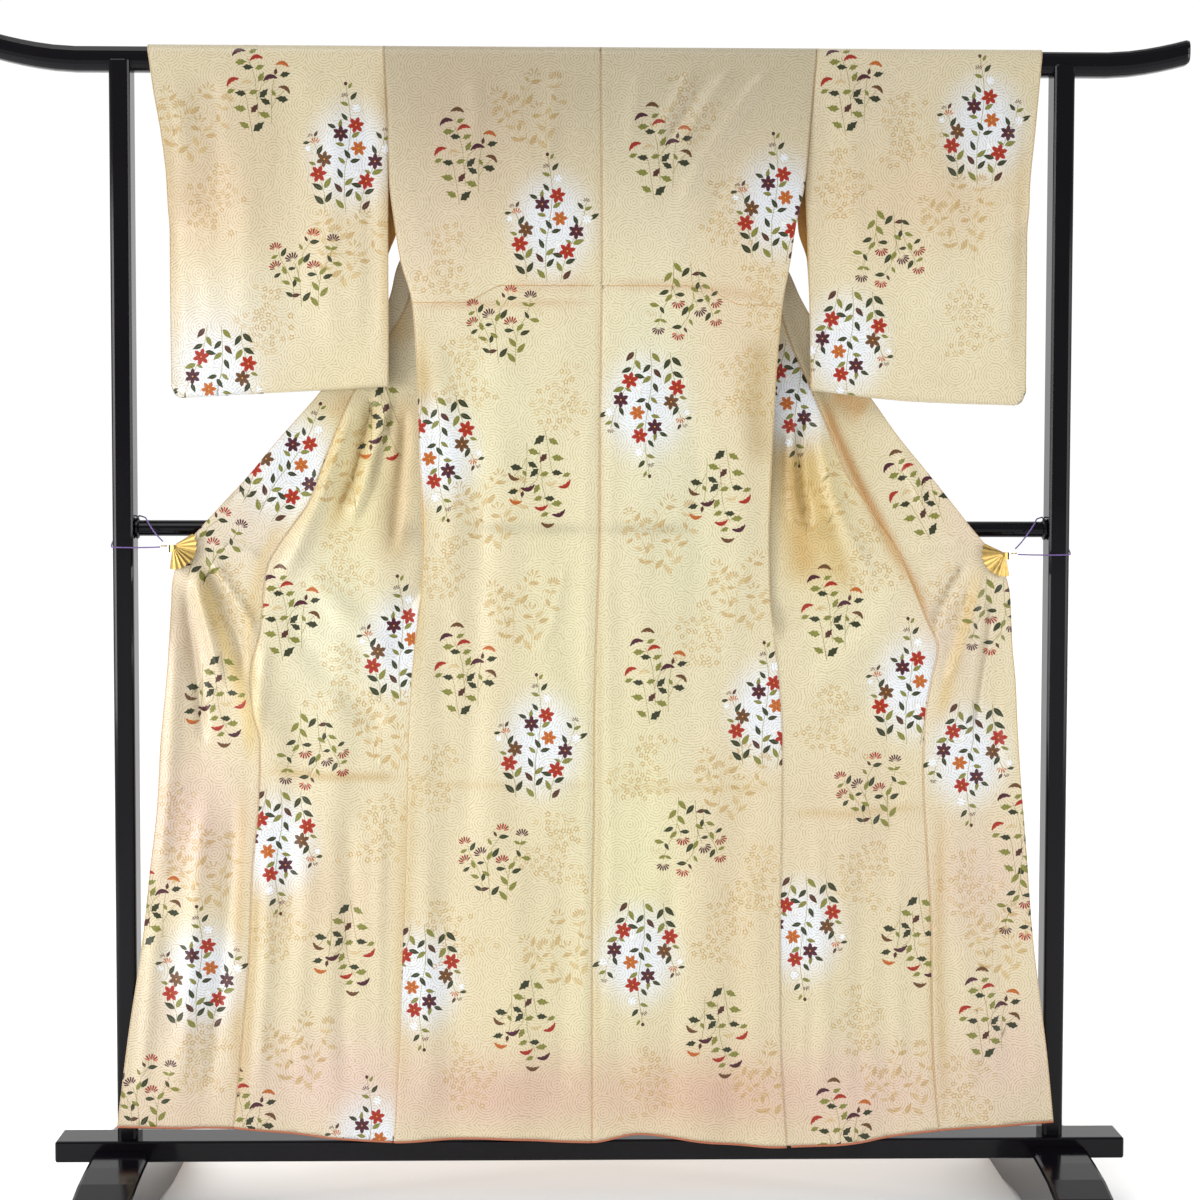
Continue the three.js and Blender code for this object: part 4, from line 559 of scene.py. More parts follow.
# sprays partly lost in a fold: what shows lies between these two columns of the frame
HIDDEN = {('front_left', 385, 430): (360, 392)}
GHOSTS = [
    ('rear_left', 290, 105, 0), ('rear_left', 215, 215, 0), ('rear_left', 345, 225, 1), ('rear_left', 275, 320, 0), ('rear_right', 915, 110, 0), ('rear_right', 985, 215, 0),
    ('rear_right', 855, 215, 1), ('rear_right', 925, 310, 0), ('front_left', 520, 225, 0), ('front_right', 668, 235, 0),
    ('sleeve_left', 210, 196, 0), ('sleeve_left', 268, 322, 0), ('sleeve_left', 190, 120, 1), ('sleeve_left', 345, 245, 1),
    ('sleeve_right', 905, 130, 0), ('sleeve_right', 970, 320, 0), ('sleeve_right', 960, 215, 1), ('sleeve_right', 840, 185, 0),
    ('back_left', 530, 110, 1), ('back_left', 440, 262, 0), ('back_left', 462, 372, 0), ('back_left', 490, 510, 1), ('back_left', 522, 610, 1),
    ('back_left', 560, 400, 0), ('back_left', 440, 570, 0), ('back_left', 430, 780, 0), ('back_left', 560, 850, 0), ('back_left', 455, 930, 0), ('back_left', 560, 950, 1),
    ('back_left', 470, 1075, 0), ('back_right', 690, 110, 0), ('back_right', 728, 215, 0), ('back_right', 768, 300, 0), ('back_right', 742, 385, 0), ('back_right', 660, 535, 1),
    ('back_right', 700, 635, 0), ('back_right', 745, 590, 1), ('back_right', 640, 770, 0), ('back_right', 730, 780, 1), ('back_right', 760, 880, 0), ('back_right', 720, 930, 0),
    ('back_right', 650, 1080, 0), ('back_right', 770, 1080, 1), ('front_left', 335, 470, 1), ('front_left', 340, 565, 0), ('front_left', 340, 680, 0), ('front_left', 380, 830, 0),
    ('front_left', 300, 1050, 1), ('front_left', 280, 930, 0), ('front_left', 390, 730, 1), ('front_right', 868, 560, 0), ('front_right', 820, 500, 1), ('front_right', 830, 720, 0),
    ('front_right', 860, 870, 0), ('front_right', 860, 1020, 0), ('front_right', 900, 1080, 1), ('overlap_left', 240, 600, 0), ('overlap_left', 180, 820, 0), ('overlap_left', 205, 870, 1),
    ('overlap_left', 200, 1060, 0), ('overlap_right', 950, 600, 0), ('overlap_right', 965, 885, 0), ('overlap_right', 1000, 940, 1), ('overlap_right', 960, 1090, 0)]

# Soft ground colours, mostly uneven dye, some of them painted light: the yellow in the hollows of the front folds.
# Frame point, half widths in frame points, colour, strength
BASE = srgb(240, 224, 182)
DYE_AND_SHADE = [
    (470, 130, 90, 120, (238, 216, 178), 0.75), (560, 90, 60, 70, (238, 220, 180), 0.5), (640, 120, 40, 110, (244, 230, 190), 0.5), (720, 150, 80, 110, (240, 222, 184), 0.6),
    (430, 250, 40, 70, (238, 218, 182), 0.6), (500, 420, 70, 110, (244, 234, 190), 0.6), (560, 600, 60, 120, (245, 232, 186), 0.6), (470, 600, 60, 110, (240, 224, 182), 0.4),
    (660, 400, 60, 150, (244, 236, 196), 0.7), (740, 330, 50, 120, (240, 218, 178), 0.6), (700, 720, 70, 120, (240, 226, 186), 0.5), (640, 850, 50, 140, (246, 236, 186), 0.7),
    (480, 950, 70, 120, (242, 224, 180), 0.5), (740, 900, 50, 140, (240, 218, 176), 0.55), (560, 1000, 60, 80, (244, 230, 184), 0.5),
    (500, 1092, 130, 38, (235, 206, 173), 0.95), (720, 1092, 130, 38, (235, 204, 169), 0.95), (330, 1080, 90, 50, (242, 216, 188), 0.8), (870, 1090, 90, 46, (241, 214, 184), 0.8),
    (220, 130, 60, 60, (236, 214, 176), 0.55), (200, 210, 60, 60, (236, 210, 170), 0.7), (330, 220, 60, 60, (240, 220, 180), 0.5), (260, 300, 90, 50, (242, 228, 188), 0.6),
    (200, 340, 60, 50, (246, 236, 214), 0.7), (920, 200, 110, 60, (238, 214, 174), 0.65), (950, 300, 90, 60, (242, 228, 188), 0.6), (880, 90, 60, 50, (238, 220, 184), 0.5),
    (330, 620, 60, 110, (243, 235, 196), 0.7), (290, 800, 50, 60, (240, 224, 184), 0.5), (330, 900, 70, 60, (238, 214, 176), 0.5), (850, 620, 60, 100, (244, 232, 190), 0.6),
    (850, 830, 60, 80, (238, 216, 178), 0.5), (170, 640, 60, 90, (236, 214, 180), 0.7), (190, 820, 60, 70, (238, 212, 184), 0.8), (180, 1020, 60, 60, (236, 216, 186), 0.6),
    (170, 1110, 80, 40, (240, 216, 182), 0.7), (990, 500, 50, 60, (240, 214, 186), 0.6), (950, 640, 40, 60, (240, 220, 190), 0.6), (980, 880, 60, 70, (237, 212, 181), 0.7),
    # (815, 500) and (352, 480) are painted yellow light in the hollows of the front folds
    (1010, 1060, 60, 60, (240, 214, 184), 0.7), (245, 520, 50, 50, (238, 222, 196), 0.6), (815, 500, 42, 90, (239, 219, 158), 0.6),
    (352, 480, 44, 90, (239, 222, 162), 0.5), (565, 700, 40, 160, (240, 230, 184), 0.5), (690, 560, 60, 90, (238, 230, 186), 0.4)]
# Painted shadow of the crossbar seen through the cloth: grey smudges at the bar's height, same columns as above
BAR_SHADOW = [(409, 533, 11, 12, (176, 168, 146), 0.42), (823, 531, 12, 11, (176, 168, 146), 0.42), (500, 528, 24, 6, (190, 180, 146), 0.5), (560, 529, 28, 6, (190, 180, 146), 0.5),
         (630, 529, 28, 6, (190, 180, 146), 0.45), (668, 529, 18, 6, (190, 180, 146), 0.45)]
PLAIN, SPREAD = (240, 224, 182), 1.55
spread = lambda c: srgb(*(max(0, min(255, b + SPREAD * (v - b))) for v, b in zip(c, PLAIN)))
DYE_AND_SHADE_MM = [(*at(px, py), rx * 1.437, ry * 1.437, spread(c), w) for px, py, rx, ry, c, w in DYE_AND_SHADE]
# the painted crossbar shadow is laid in with the ground colours
DYE_AND_SHADE_MM += [(*at(px, py), rx * 1.437, ry * 1.437, srgb(*c), w) for px, py, rx, ry, c, w in BAR_SHADOW]
# Painted shade and warm painted light in the hollows, folds and creases, with darker lines along the seams: panel, line
# of frame points, half width in frame points, colour, strength
HOLLOW_SHADE = [
    ('front_left', [(404, 388), (402, 440), (397, 500), (393, 570)], 15, (206, 160, 92), 0.5),
    ('front_right', [(834, 392), (840, 420), (850, 448)], 12, (206, 154, 78), 0.6),
    ('back_right', [(762, 330), (756, 400), (760, 470)], 14, (190, 160, 96), 0.5),
    ('back_left', [(426, 350), (424, 410), (420, 470)], 10, (204, 174, 120), 0.5),
    ('front_left', [(372, 392), (364, 430), (350, 480), (326, 540)], 8, (218, 180, 104), 0.55),
    ('front_left', [(345, 398), (330, 450), (300, 520), (268, 575)], 9, (226, 196, 130), 0.4),
    ('front_left', [(258, 780), (256, 900), (248, 1020), (240, 1120)], 7, (214, 176, 104), 0.5),
    ('front_left', [(404, 780), (402, 900), (398, 1120)], 6, (222, 190, 126), 0.4),
    ('front_left', [(262, 574), (252, 630), (256, 700), (262, 756)], 6, (232, 204, 128), 0.5),
    ('back_left', [(420, 310), (424, 420), (420, 560), (414, 700)], 7, (214, 182, 116), 0.55),
    ('back_left', [(414, 760), (408, 900), (402, 1110)], 5, (220, 190, 128), 0.4),
    ('back_right', [(782, 300), (780, 420), (784, 560), (786, 700)], 7, (216, 184, 118), 0.5),
    ('back_right', [(598, 300), (600, 500), (598, 900), (596, 1120)], 3.5, (214, 188, 136), 0.4),
    ('back_left', [(596, 60), (599, 500), (596, 900), (592, 1120)], 3.0, (222, 198, 150), 0.35),
    ('overlap_left', [(198, 566), (212, 610), (232, 660), (250, 720), (252, 764)], 8, (230, 196, 116), 0.7),
    ('overlap_left', [(286, 520), (262, 560), (250, 620), (244, 700)], 7, (226, 190, 122), 0.5),
    ('overlap_left', [(244, 780), (240, 900), (236, 1110)], 6, (216, 178, 112), 0.5),
    ('front_right', [(790, 430), (794, 480), (802, 540), (808, 590)], 19, (214, 168, 84), 0.7),
    ('front_right', [(836, 398), (850, 450), (880, 520), (916, 590)], 8, (210, 160, 84), 0.75),
    ('front_right', [(806, 420), (812, 480), (830, 540), (850, 600)], 14, (222, 184, 104), 0.6),
    ('front_right', [(936, 800), (932, 960), (936, 1110)], 6, (214, 176, 106), 0.5),
    ('overlap_right', [(824, 392), (838, 432), (868, 500), (908, 576), (934, 636)], 6, (204, 142, 64), 0.85),
    ('overlap_right', [(836, 388), (854, 398), (872, 412)], 17, (224, 172, 100), 0.75),
    ('overlap_left', [(352, 392), (340, 404), (330, 420)], 12, (228, 188, 130), 0.5),
    ('front_left', [(264, 770), (330, 776), (404, 777)], 4.5, (216, 180, 116), 0.65),
    ('front_right', [(788, 812), (850, 813), (930, 806)], 4.5, (220, 186, 124), 0.5),
    ('back_left', [(414, 784), (500, 785), (596, 784)], 4, (226, 198, 142), 0.45),
    ('back_right', [(604, 788), (700, 787), (782, 789)], 4, (226, 198, 142), 0.4),
    ('overlap_right', [(980, 566), (966, 620), (948, 680), (936, 740)], 7, (228, 192, 116), 0.6),
    ('overlap_right', [(940, 800), (938, 950), (944, 1110)], 6, (216, 180, 116), 0.5),
    ('sleeve_left', [(382, 60), (384, 200), (384, 376)], 5, (216, 186, 128), 0.5),
    ('sleeve_left', [(166, 100), (172, 250), (176, 360)], 5, (222, 192, 140), 0.45),
    ('sleeve_right', [(806, 60), (806, 200), (808, 380)], 5, (216, 186, 128), 0.5),
    ('sleeve_right', [(1024, 100), (1020, 250), (1016, 370)], 5, (222, 192, 140), 0.45),
    ('back_left', [(412, 306), (500, 304), (594, 302)], 4, (224, 190, 146), 0.6),
    ('front_left', [(390, 236), (396, 290), (394, 350)], 15, (228, 184, 104), 0.6), ('front_right', [(810, 236), (803, 290), (804, 350)], 15, (228, 182, 100), 0.6),
    ('back_right', [(604, 284), (690, 286), (780, 300)], 6, (226, 192, 148), 0.6),
    ('back_left', [(500, 288), (550, 286), (596, 284)], 7, (228, 196, 154), 0.5)]
HOLLOW_SHADE_MM = {}
for _n, _pts, _wd, _c, _k in HOLLOW_SHADE:
    HOLLOW_SHADE_MM.setdefault(_n, []).append(([at(*p) for p in _pts], _wd * 1.437, srgb(*_c), _k))


def ground(name, x, z, flat=None, rear=None):
    """Colour of the ground at x, z on a panel: the dye, painted shade in the hollows, under the crossbar and towards
    the shoulders, and the print's white glow. flat is the place in the panel's own plane, where the glow is laid.
    """
    c = np.tile(BASE, (len(x), 1))
    for gx, gz, rx, rz, ink, w in DYE_AND_SHADE_MM:
        k = (w * np.exp(-((x - gx) / rx) ** 2 - ((z - gz) / rz) ** 2))[:, None]
        c = c * (1 - k) + ink * k
    # painted shade and warm painted light in the hollows and creases
    for pts, w, ink, k0 in HOLLOW_SHADE_MM.get(name, ()):
        best = np.full(len(x), 1e9); along = np.zeros(len(x))
        for i, ((ax, az), (bx, bz)) in enumerate(zip(pts, pts[1:])):
            ln = math.hypot(bx - ax, bz - az)
            t = np.clip(((x - ax) * (bx - ax) + (z - az) * (bz - az)) / ln ** 2, 0, 1)
            d = np.hypot(x - ax - t * (bx - ax), z - az - t * (bz - az))
            along = np.where(d < best, (i + t) / (len(pts) - 1), along); best = np.minimum(best, d)
        k = (k0 * np.exp(-(best / w) ** 2) * soft(-0.05, 0.2, along) * soft(1.05, 0.8, along))[:, None]
        c = c * (1 - k) + ink * k
    c = c * np.array([0.615, 0.635, 0.69])
    white = srgb(201, 206, 214)
    fx, fz = (x, z) if flat is None else flat
    for panel_name, kind, px, py, turn in SPRAYS:
        behind = panel_name == name.replace('sleeve', 'rear') and rear is not None
        if kind != 'bell' or not (panel_name == name or behind):
            continue
        gx, gz = at(px, py)
        reach = 1.0 if rear is None else (rear if behind else 1 - rear)
        a = math.radians(turn)
        u = (fx - gx) * math.cos(a) + (fz - gz) * math.sin(a); v = -(fx - gx) * math.sin(a) + (fz - gz) * math.cos(a)
        d = np.sqrt((u / 66) ** 2 + ((v + 8) / 84) ** 2)
        k = (0.9 * reach * soft(1.2, 0.3, d))[:, None]
        c = c * (1 - k) + white * k
    return c * tone(name, x, z)[:, None]


def tone(name, x, z):
    """Painted shade: the colour darkens towards the shoulders."""
    shoulder_shade = 0.16 if name.startswith('sleeve') else 0.34
    return 1 - shoulder_shade * soft(1330, 1690, z) * (1 if name.startswith('sleeve') else soft(0, 1, 1.4 - 0.1 * np.abs(x) / 300))


# ---------------------------------------------------------------- materials
def material(name, rough=0.5, metal=0.0, color=(0.5, 0.5, 0.5)):
    m = bpy.data.materials.new(name)
    m.use_nodes = True
    b = m.node_tree.nodes["Principled BSDF"]
    b.inputs["Base Color"].default_value = (*color, 1)
    b.inputs["Roughness"].default_value = rough
    b.inputs["Metallic"].default_value = metal
    return m, m.node_tree, b


def node(nt, kind, inputs=None, **props):
    n = nt.nodes.new(kind)
    for k, v in props.items():
        setattr(n, k, v)
    for k, v in (inputs or {}).items():
        if hasattr(v, "links") or isinstance(v, bpy.types.NodeSocket):
            nt.links.new(v, n.inputs[k])
        else:
            n.inputs[k].default_value = v
    return n


def math_node(nt, op, a, b=0.0, clamp=False):
    n = nt.nodes.new("ShaderNodeMath"); n.operation = op; n.use_clamp = clamp
    for i, v in enumerate((a, b)):
        if isinstance(v, bpy.types.NodeSocket):
            nt.links.new(v, n.inputs[i])
        else:
            n.inputs[i].default_value = v
    return n.outputs[0]


def silk_material(name="silk_figured", printed=True, tint=(0.86, 0.62, 0.24)):
    m, nt, b = material(name, 0.44)
    uv = node(nt, "ShaderNodeUVMap", uv_map="flat").outputs[0]
    vor = node(nt, "ShaderNodeTexVoronoi", {"Vector": uv, "Scale": 26.0, "Randomness": 0.85}, voronoi_dimensions='2D')
    ring = math_node(nt, 'SINE', math_node(nt, 'MULTIPLY', vor.outputs["Distance"], 62.0))
    ring = math_node(nt, 'MULTIPLY', math_node(nt, 'ADD', ring, -0.05), 1.5, True)
    dash = node(nt, "ShaderNodeTexNoise", {"Vector": uv, "Scale": 420.0, "Detail": 0.0})
    gap = math_node(nt, 'MULTIPLY', math_node(nt, 'SUBTRACT', dash.outputs[0], 0.30), 4.0, True)
    mask = math_node(nt, 'MULTIPLY', ring, gap)
    fine = node(nt, "ShaderNodeTexNoise", {"Vector": node(nt, "ShaderNodeMapping", {"Vector": uv, "Scale": (1.0, 0.35, 1.0)}).outputs[0], "Scale": 1900.0, "Detail": 0.0})
    wide = node(nt, "ShaderNodeTexNoise", {"Vector": uv, "Scale": 9.0, "Detail": 2.0})
    if printed:
        base = node(nt, "ShaderNodeVertexColor", layer_name="PrintAndShade").outputs[0]
    else:
        lo = tuple(c * 0.88 for c in tint) + (1,)
        base = node(nt, "ShaderNodeMix", {0: wide.outputs[0], 6: lo, 7: (*tint, 1)}, data_type='RGBA').outputs[2]
    figure = node(nt, "ShaderNodeMix", {0: mask, 6: (1, 1, 1, 1), 7: (0.73, 0.69, 0.60, 1)}, data_type='RGBA').outputs[2]
    shade = node(nt, "ShaderNodeMix", {0: 1.0 if printed else 0.35, 6: base, 7: figure}, data_type='RGBA', blend_type='MULTIPLY').outputs[2]
    grain = node(nt, "ShaderNodeMix", {0: math_node(nt, 'MULTIPLY', fine.outputs[0], 0.22), 6: shade, 7: (0.45, 0.36, 0.2, 1)}, data_type='RGBA', blend_type='MIX')
    grain.inputs[0].default_value = 0.0
    tone = node(nt, "ShaderNodeMapRange", {"Value": fine.outputs[0], "From Min": 0.3, "From Max": 0.7, "To Min": 0.975, "To Max": 1.015})
    out = node(nt, "ShaderNodeVectorMath", {0: shade, "Scale": tone.outputs[0]}, operation='SCALE')
    nt.nodes.remove(grain)
    nt.links.new(out.outputs[0], b.inputs["Base Color"])
    rough = node(nt, "ShaderNodeMapRange", {"Value": mask, "To Min": 0.36, "To Max": 0.52})
    nt.links.new(rough.outputs[0], b.inputs["Roughness"])
    height = math_node(nt, 'ADD', math_node(nt, 'MULTIPLY', mask, 0.6), math_node(nt, 'MULTIPLY', fine.outputs[0], 0.35))
    bump = node(nt, "ShaderNodeBump", {"Height": height, "Strength": 0.5, "Distance": 0.00022})
    nt.links.new(bump.outputs[0], b.inputs["Normal"])
    b.inputs["Sheen Weight"].default_value = 0.12
    b.inputs["Sheen Roughness"].default_value = 0.4
    b.inputs["Specular IOR Level"].default_value = 0.42
    return m


SILK = silk_material()
LINING = silk_material("lining_silk", printed=False, tint=(0.72, 0.40, 0.11))


def piping_material():
    m, nt, b = material("piping_silk", 0.5, 0, (0.3, 0.09, 0.04))
    co = node(nt, "ShaderNodeTexCoord").outputs["Object"]
    w = node(nt, "ShaderNodeTexNoise", {"Vector": co, "Scale": 900.0, "Detail": 2.0})
    c = node(nt, "ShaderNodeMix", {0: w.outputs[0], 6: (0.22, 0.06, 0.03, 1), 7: (0.42, 0.14, 0.06, 1)}, data_type='RGBA').outputs[2]
    nt.links.new(c, b.inputs["Base Color"])
    bump = node(nt, "ShaderNodeBump", {"Height": w.outputs[0], "Strength": 0.4, "Distance": 0.0002})
    nt.links.new(bump.outputs[0], b.inputs["Normal"])
    return m


def lacquer_material():
    m, nt, b = material("black_lacquer", 0.1, 0, (0.006, 0.0055, 0.007))
    co = node(nt, "ShaderNodeTexCoord").outputs["Object"]
    w = node(nt, "ShaderNodeTexNoise", {"Vector": co, "Scale": 7.0, "Detail": 4.0})
    f = node(nt, "ShaderNodeTexNoise", {"Vector": co, "Scale": 160.0, "Detail": 3.0})
    c = node(nt, "ShaderNodeMix", {0: w.outputs[0], 6: (0.0015, 0.0012, 0.002, 1), 7: (0.004, 0.0034, 0.005, 1)}, data_type='RGBA').outputs[2]
    nt.links.new(c, b.inputs["Base Color"])
    r = node(nt, "ShaderNodeMapRange", {"Value": w.outputs[0], "From Min": 0.3, "From Max": 0.7, "To Min": 0.09, "To Max": 0.15})
    nt.links.new(r.outputs[0], b.inputs["Roughness"])
    h = math_node(nt, 'ADD', math_node(nt, 'MULTIPLY', w.outputs[0], 1.0), math_node(nt, 'MULTIPLY', f.outputs[0], 0.04))
    bump = node(nt, "ShaderNodeBump", {"Height": h, "Strength": 0.25, "Distance": 0.001})
    nt.links.new(bump.outputs[0], b.inputs["Normal"])
    b.inputs["Specular IOR Level"].default_value = 0.16
    return m


def gold_material():
    m, nt, b = material("gilt_brass", 0.28, 1.0, (0.80, 0.58, 0.22))
    co = node(nt, "ShaderNodeTexCoord").outputs["Object"]
    w = node(nt, "ShaderNodeTexNoise", {"Vector": co, "Scale": 160.0, "Detail": 3.0})
    c = node(nt, "ShaderNodeMix", {0: w.outputs[0], 6: (0.30, 0.19, 0.05, 1), 7: (0.55, 0.39, 0.14, 1)}, data_type='RGBA').outputs[2]
    nt.links.new(c, b.inputs["Base Color"])
    r = node(nt, "ShaderNodeMapRange", {"Value": w.outputs[0], "To Min": 0.2, "To Max": 0.42})
    nt.links.new(r.outputs[0], b.inputs["Roughness"])
    bump = node(nt, "ShaderNodeBump", {"Height": w.outputs[0], "Strength": 0.3, "Distance": 0.0002})
    nt.links.new(bump.outputs[0], b.inputs["Normal"])
    return m


def cord_material():
    m, nt, b = material("purple_cord", 0.7, 0, (0.09, 0.05, 0.17))
    co = node(nt, "ShaderNodeTexCoord").outputs["Object"]
    w = node(nt, "ShaderNodeTexWave", {"Vector": co, "Scale": 210.0, "Distortion": 1.5}, bands_direction='DIAGONAL')
    c = node(nt, "ShaderNodeMix", {0: w.outputs[1], 6: (0.05, 0.03, 0.11, 1), 7: (0.17, 0.10, 0.30, 1)}, data_type='RGBA').outputs[2]
    nt.links.new(c, b.inputs["Base Color"])
    bump = node(nt, "ShaderNodeBump", {"Height": w.outputs[1], "Strength": 0.5, "Distance": 0.0003})
    nt.links.new(bump.outputs[0], b.inputs["Normal"])
    return m


PIPING, LACQUER, GOLD, PURPLE = piping_material(), lacquer_material(), gold_material(), cord_material()
for n_, o_ in NODES.items():
    pick = None
    if n_.startswith(("post", "foot", "top_bar", "crossbar", "base_board")):
        pick = LACQUER
    elif n_.startswith("clip"):
        pick = GOLD
    elif n_.startswith("cord"):
        pick = PURPLE
    elif n_.startswith("hem"):
        pick = PIPING
    if pick:
        o_.data.materials.clear()
        o_.data.materials.append(pick)

# ---------------------------------------------------------------- panels
STEP = 5.2
THICK = 1.3


def outline(lo, hi, z1, zb, step=STEP):
    """The panel's cut in its own plane, counter-clockwise from the lower inner corner."""
    def corner(edge):
        z = 130.0
        for _ in range(30):
            z = float(zb(edge(z)))
        return z
    za, zc = corner(lo), corner(hi)
    n = max(2, int(round((hi(zc) - lo(za)) / step)))
    xs = np.linspace(float(lo(za)), float(hi(zc)), n + 1)
    pts = [(x, float(zb(x))) for x in xs]
    m = max(2, int(round((z1 - zc) / step)))
    pts += [(float(hi(z)), z) for z in np.linspace(zc, z1, m + 1)[1:]]
    n2 = max(2, int(round(float(hi(z1) - lo(z1)) / step)))
    pts += [(x, z1) for x in np.linspace(float(hi(z1)), float(lo(z1)), n2 + 1)[1:]]
    m = max(2, int(round((z1 - za) / step)))
    pts += [(float(lo(z)), z) for z in np.linspace(z1, za, m + 1)[1:-1]]
    return np.array(pts), n + 1


def cut(name, s, lo, hi, z1, zb, bands=()):
    """Triangulates a panel's cut with its print let in. Returns points, triangles, the ink of each triangle, and the lower edge."""
    rim, nlow = outline(lo, hi, z1, zb)
    zs = np.arange(rim[:, 1].min(), z1, STEP * 0.9)
    xs_all = np.arange(rim[:, 0].min(), rim[:, 0].max(), STEP)
    X, Z = np.meshgrid(xs_all, zs)
    X = X + (np.arange(len(zs)) % 2)[:, None] * STEP / 2
    X, Z = X.ravel(), Z.ravel()
    keep = (X > lo(Z) + 2.4) & (X < hi(Z) - 2.4) & (Z > zb(X) + 2.4) & (Z < z1 - 2.4)
    pts = [Vector(p) for p in rim] + [Vector(p) for p in np.c_[X[keep], Z[keep]]]
    faces, inks = [list(range(len(rim)))], [None]
    x0, x1_ = rim[:, 0].min() - 5, rim[:, 0].max() + 5

    def add(poly, ink):
        if len(poly) < 3 or poly[:, 0].max() < x0 or poly[:, 0].min() > x1_:
            return
        if np.sum(poly[:, 0] * np.roll(poly[:, 1], -1) - np.roll(poly[:, 0], -1) * poly[:, 1]) < 0:
            poly = poly[::-1]
        base = len(pts)
        pts.extend(Vector(p) for p in poly)
        faces.append(list(range(base, base + len(poly)))); inks.append(ink)
    for poly, ink in bands:
        add(poly, ink)
    # painted shade: a darker strip just inside both side edges of the panel, where the edges overlap and turn
    for edge_x, inward in ((lo, 1), (hi, -1)):
        zz = np.linspace(float(max(zb(edge_x(130.0)), zb(edge_x(rim[:, 1].min())))) + 3, z1 - 0.5, 180)
        ex = edge_x(zz)
        add(np.vstack([np.c_[ex + inward * 0.25, zz], np.c_[ex + inward * 1.9, zz][::-1]]), 'edge')
    for k, (panel_name, px, py, kind) in enumerate(GHOSTS):
        if panel_name == name:
            cx, cz = at(px, py)
            a = math.radians((k * 37) % 40 - 20); c, s_ = math.cos(a), math.sin(a)
            for poly, ink in ghosts(100 + k, kind):
                w = poly @ np.array([[c, s_], [-s_, c]]) + [cx, cz]
                add(np.c_[s * w[:, 0], w[:, 1]], ink)
    for panel_name, kind, px, py, turn in SPRAYS:
        if panel_name == name:
            cx, cz = at(px, py)
            a = math.radians(turn); c, s_ = math.cos(a), math.sin(a)
            lo_x, hi_x = (at(v, py)[0] for v in HIDDEN.get((name, px, py), (-2000, 3000)))
            for poly, ink in KINDS[kind]:
                w = poly @ np.array([[c, s_], [-s_, c]]) + [cx, cz]
                if not lo_x < w[:, 0].mean() < hi_x:
                    continue
                add(np.c_[s * w[:, 0], w[:, 1]], ink)
    vs, _, fs, _, _, of = delaunay_2d_cdt(pts, [], faces, 1, 1e-4, True)
    P = np.array([tuple(v) for v in vs])
    tri, colour = [], []
    for f, o in zip(fs, of):
        if 0 in o and len(f) == 3:
            tri.append(f); colour.append(inks[max(o)])
    tri, colour = tidy(P, np.array(tri), colour)
    # the lower edge, in order
    edge = [int(np.argmin(np.hypot(P[:, 0] - p[0], P[:, 1] - p[1]))) for p in rim[:nlow]]
    return P, tri, colour, edge


def tidy(P, tri, colour, tall=0.15, wide=12.0):
    """Turns the long edge of each flat sliver, so that the sheet stays smooth where it bends."""
    def girth(t):
        q = P[t]; e = np.linalg.norm(q - np.roll(q, -1, -2), axis=-1)
        d, f = q[..., 1, :] - q[..., 0, :], q[..., 2, :] - q[..., 0, :]
        two = d[..., 0] * f[..., 1] - d[..., 1] * f[..., 0]
        return e, two, e.prod(-1) / np.maximum(np.abs(two), 1e-9)
    for _ in range(4):
        e, two, big = girth(tri)
        todo = np.where((np.abs(two) / e.max(1) < tall) & (big > wide))[0]
        own = {}
        for i, (a, b, c) in enumerate(tri.tolist()):
            own[a, b] = own[b, c] = own[c, a] = i
        done = set()
        for i in todo.tolist():
            k = int(e[i].argmax()); p_, q_, r_ = (int(tri[i][(k + m) % 3]) for m in range(3))
            j = own.get((q_, p_))
            if j is None or i in done or j in done:
                continue
            d_ = int([v for v in tri[j] if v != p_ and v != q_][0])
            new = np.array([[p_, d_, r_], [d_, q_, r_]])
            _, area, after = girth(new)
            if np.sign(two[i]) * area.min() <= 1e-5 or np.sign(two[i]) * area.max() <= 1e-5 or after.max() >= max(big[i], big[j]):
                continue
            tri[i], tri[j] = new
            colour[i] = colour[j]
            done.update((i, j))
        if not done:
            break
    return tri, colour


def normals(P, tri):
    n = np.zeros_like(P)
    c = np.cross(P[tri[:, 1]] - P[tri[:, 0]], P[tri[:, 2]] - P[tri[:, 0]])
    for k in range(3):
        np.add.at(n, tri[:, k], c)
    return n / np.maximum(np.linalg.norm(n, axis=1), 1e-12)[:, None]


def new_object(name, verts, faces, mats, face_mats=None, smooth=True):
    me = bpy.data.meshes.new(name)
    me.from_pydata((np.asarray(verts) / 1000.0).tolist(), [], [list(map(int, f)) for f in faces])
    for m in mats:
        me.materials.append(m)
    if face_mats is not None:
        me.polygons.foreach_set("material_index", np.asarray(face_mats, dtype=np.int32))
    me.polygons.foreach_set("use_smooth", np.full(len(me.polygons), smooth))
    me.update()
    ob = bpy.data.objects.new(name, me)
    bpy.context.scene.collection.objects.link(ob)
    return ob


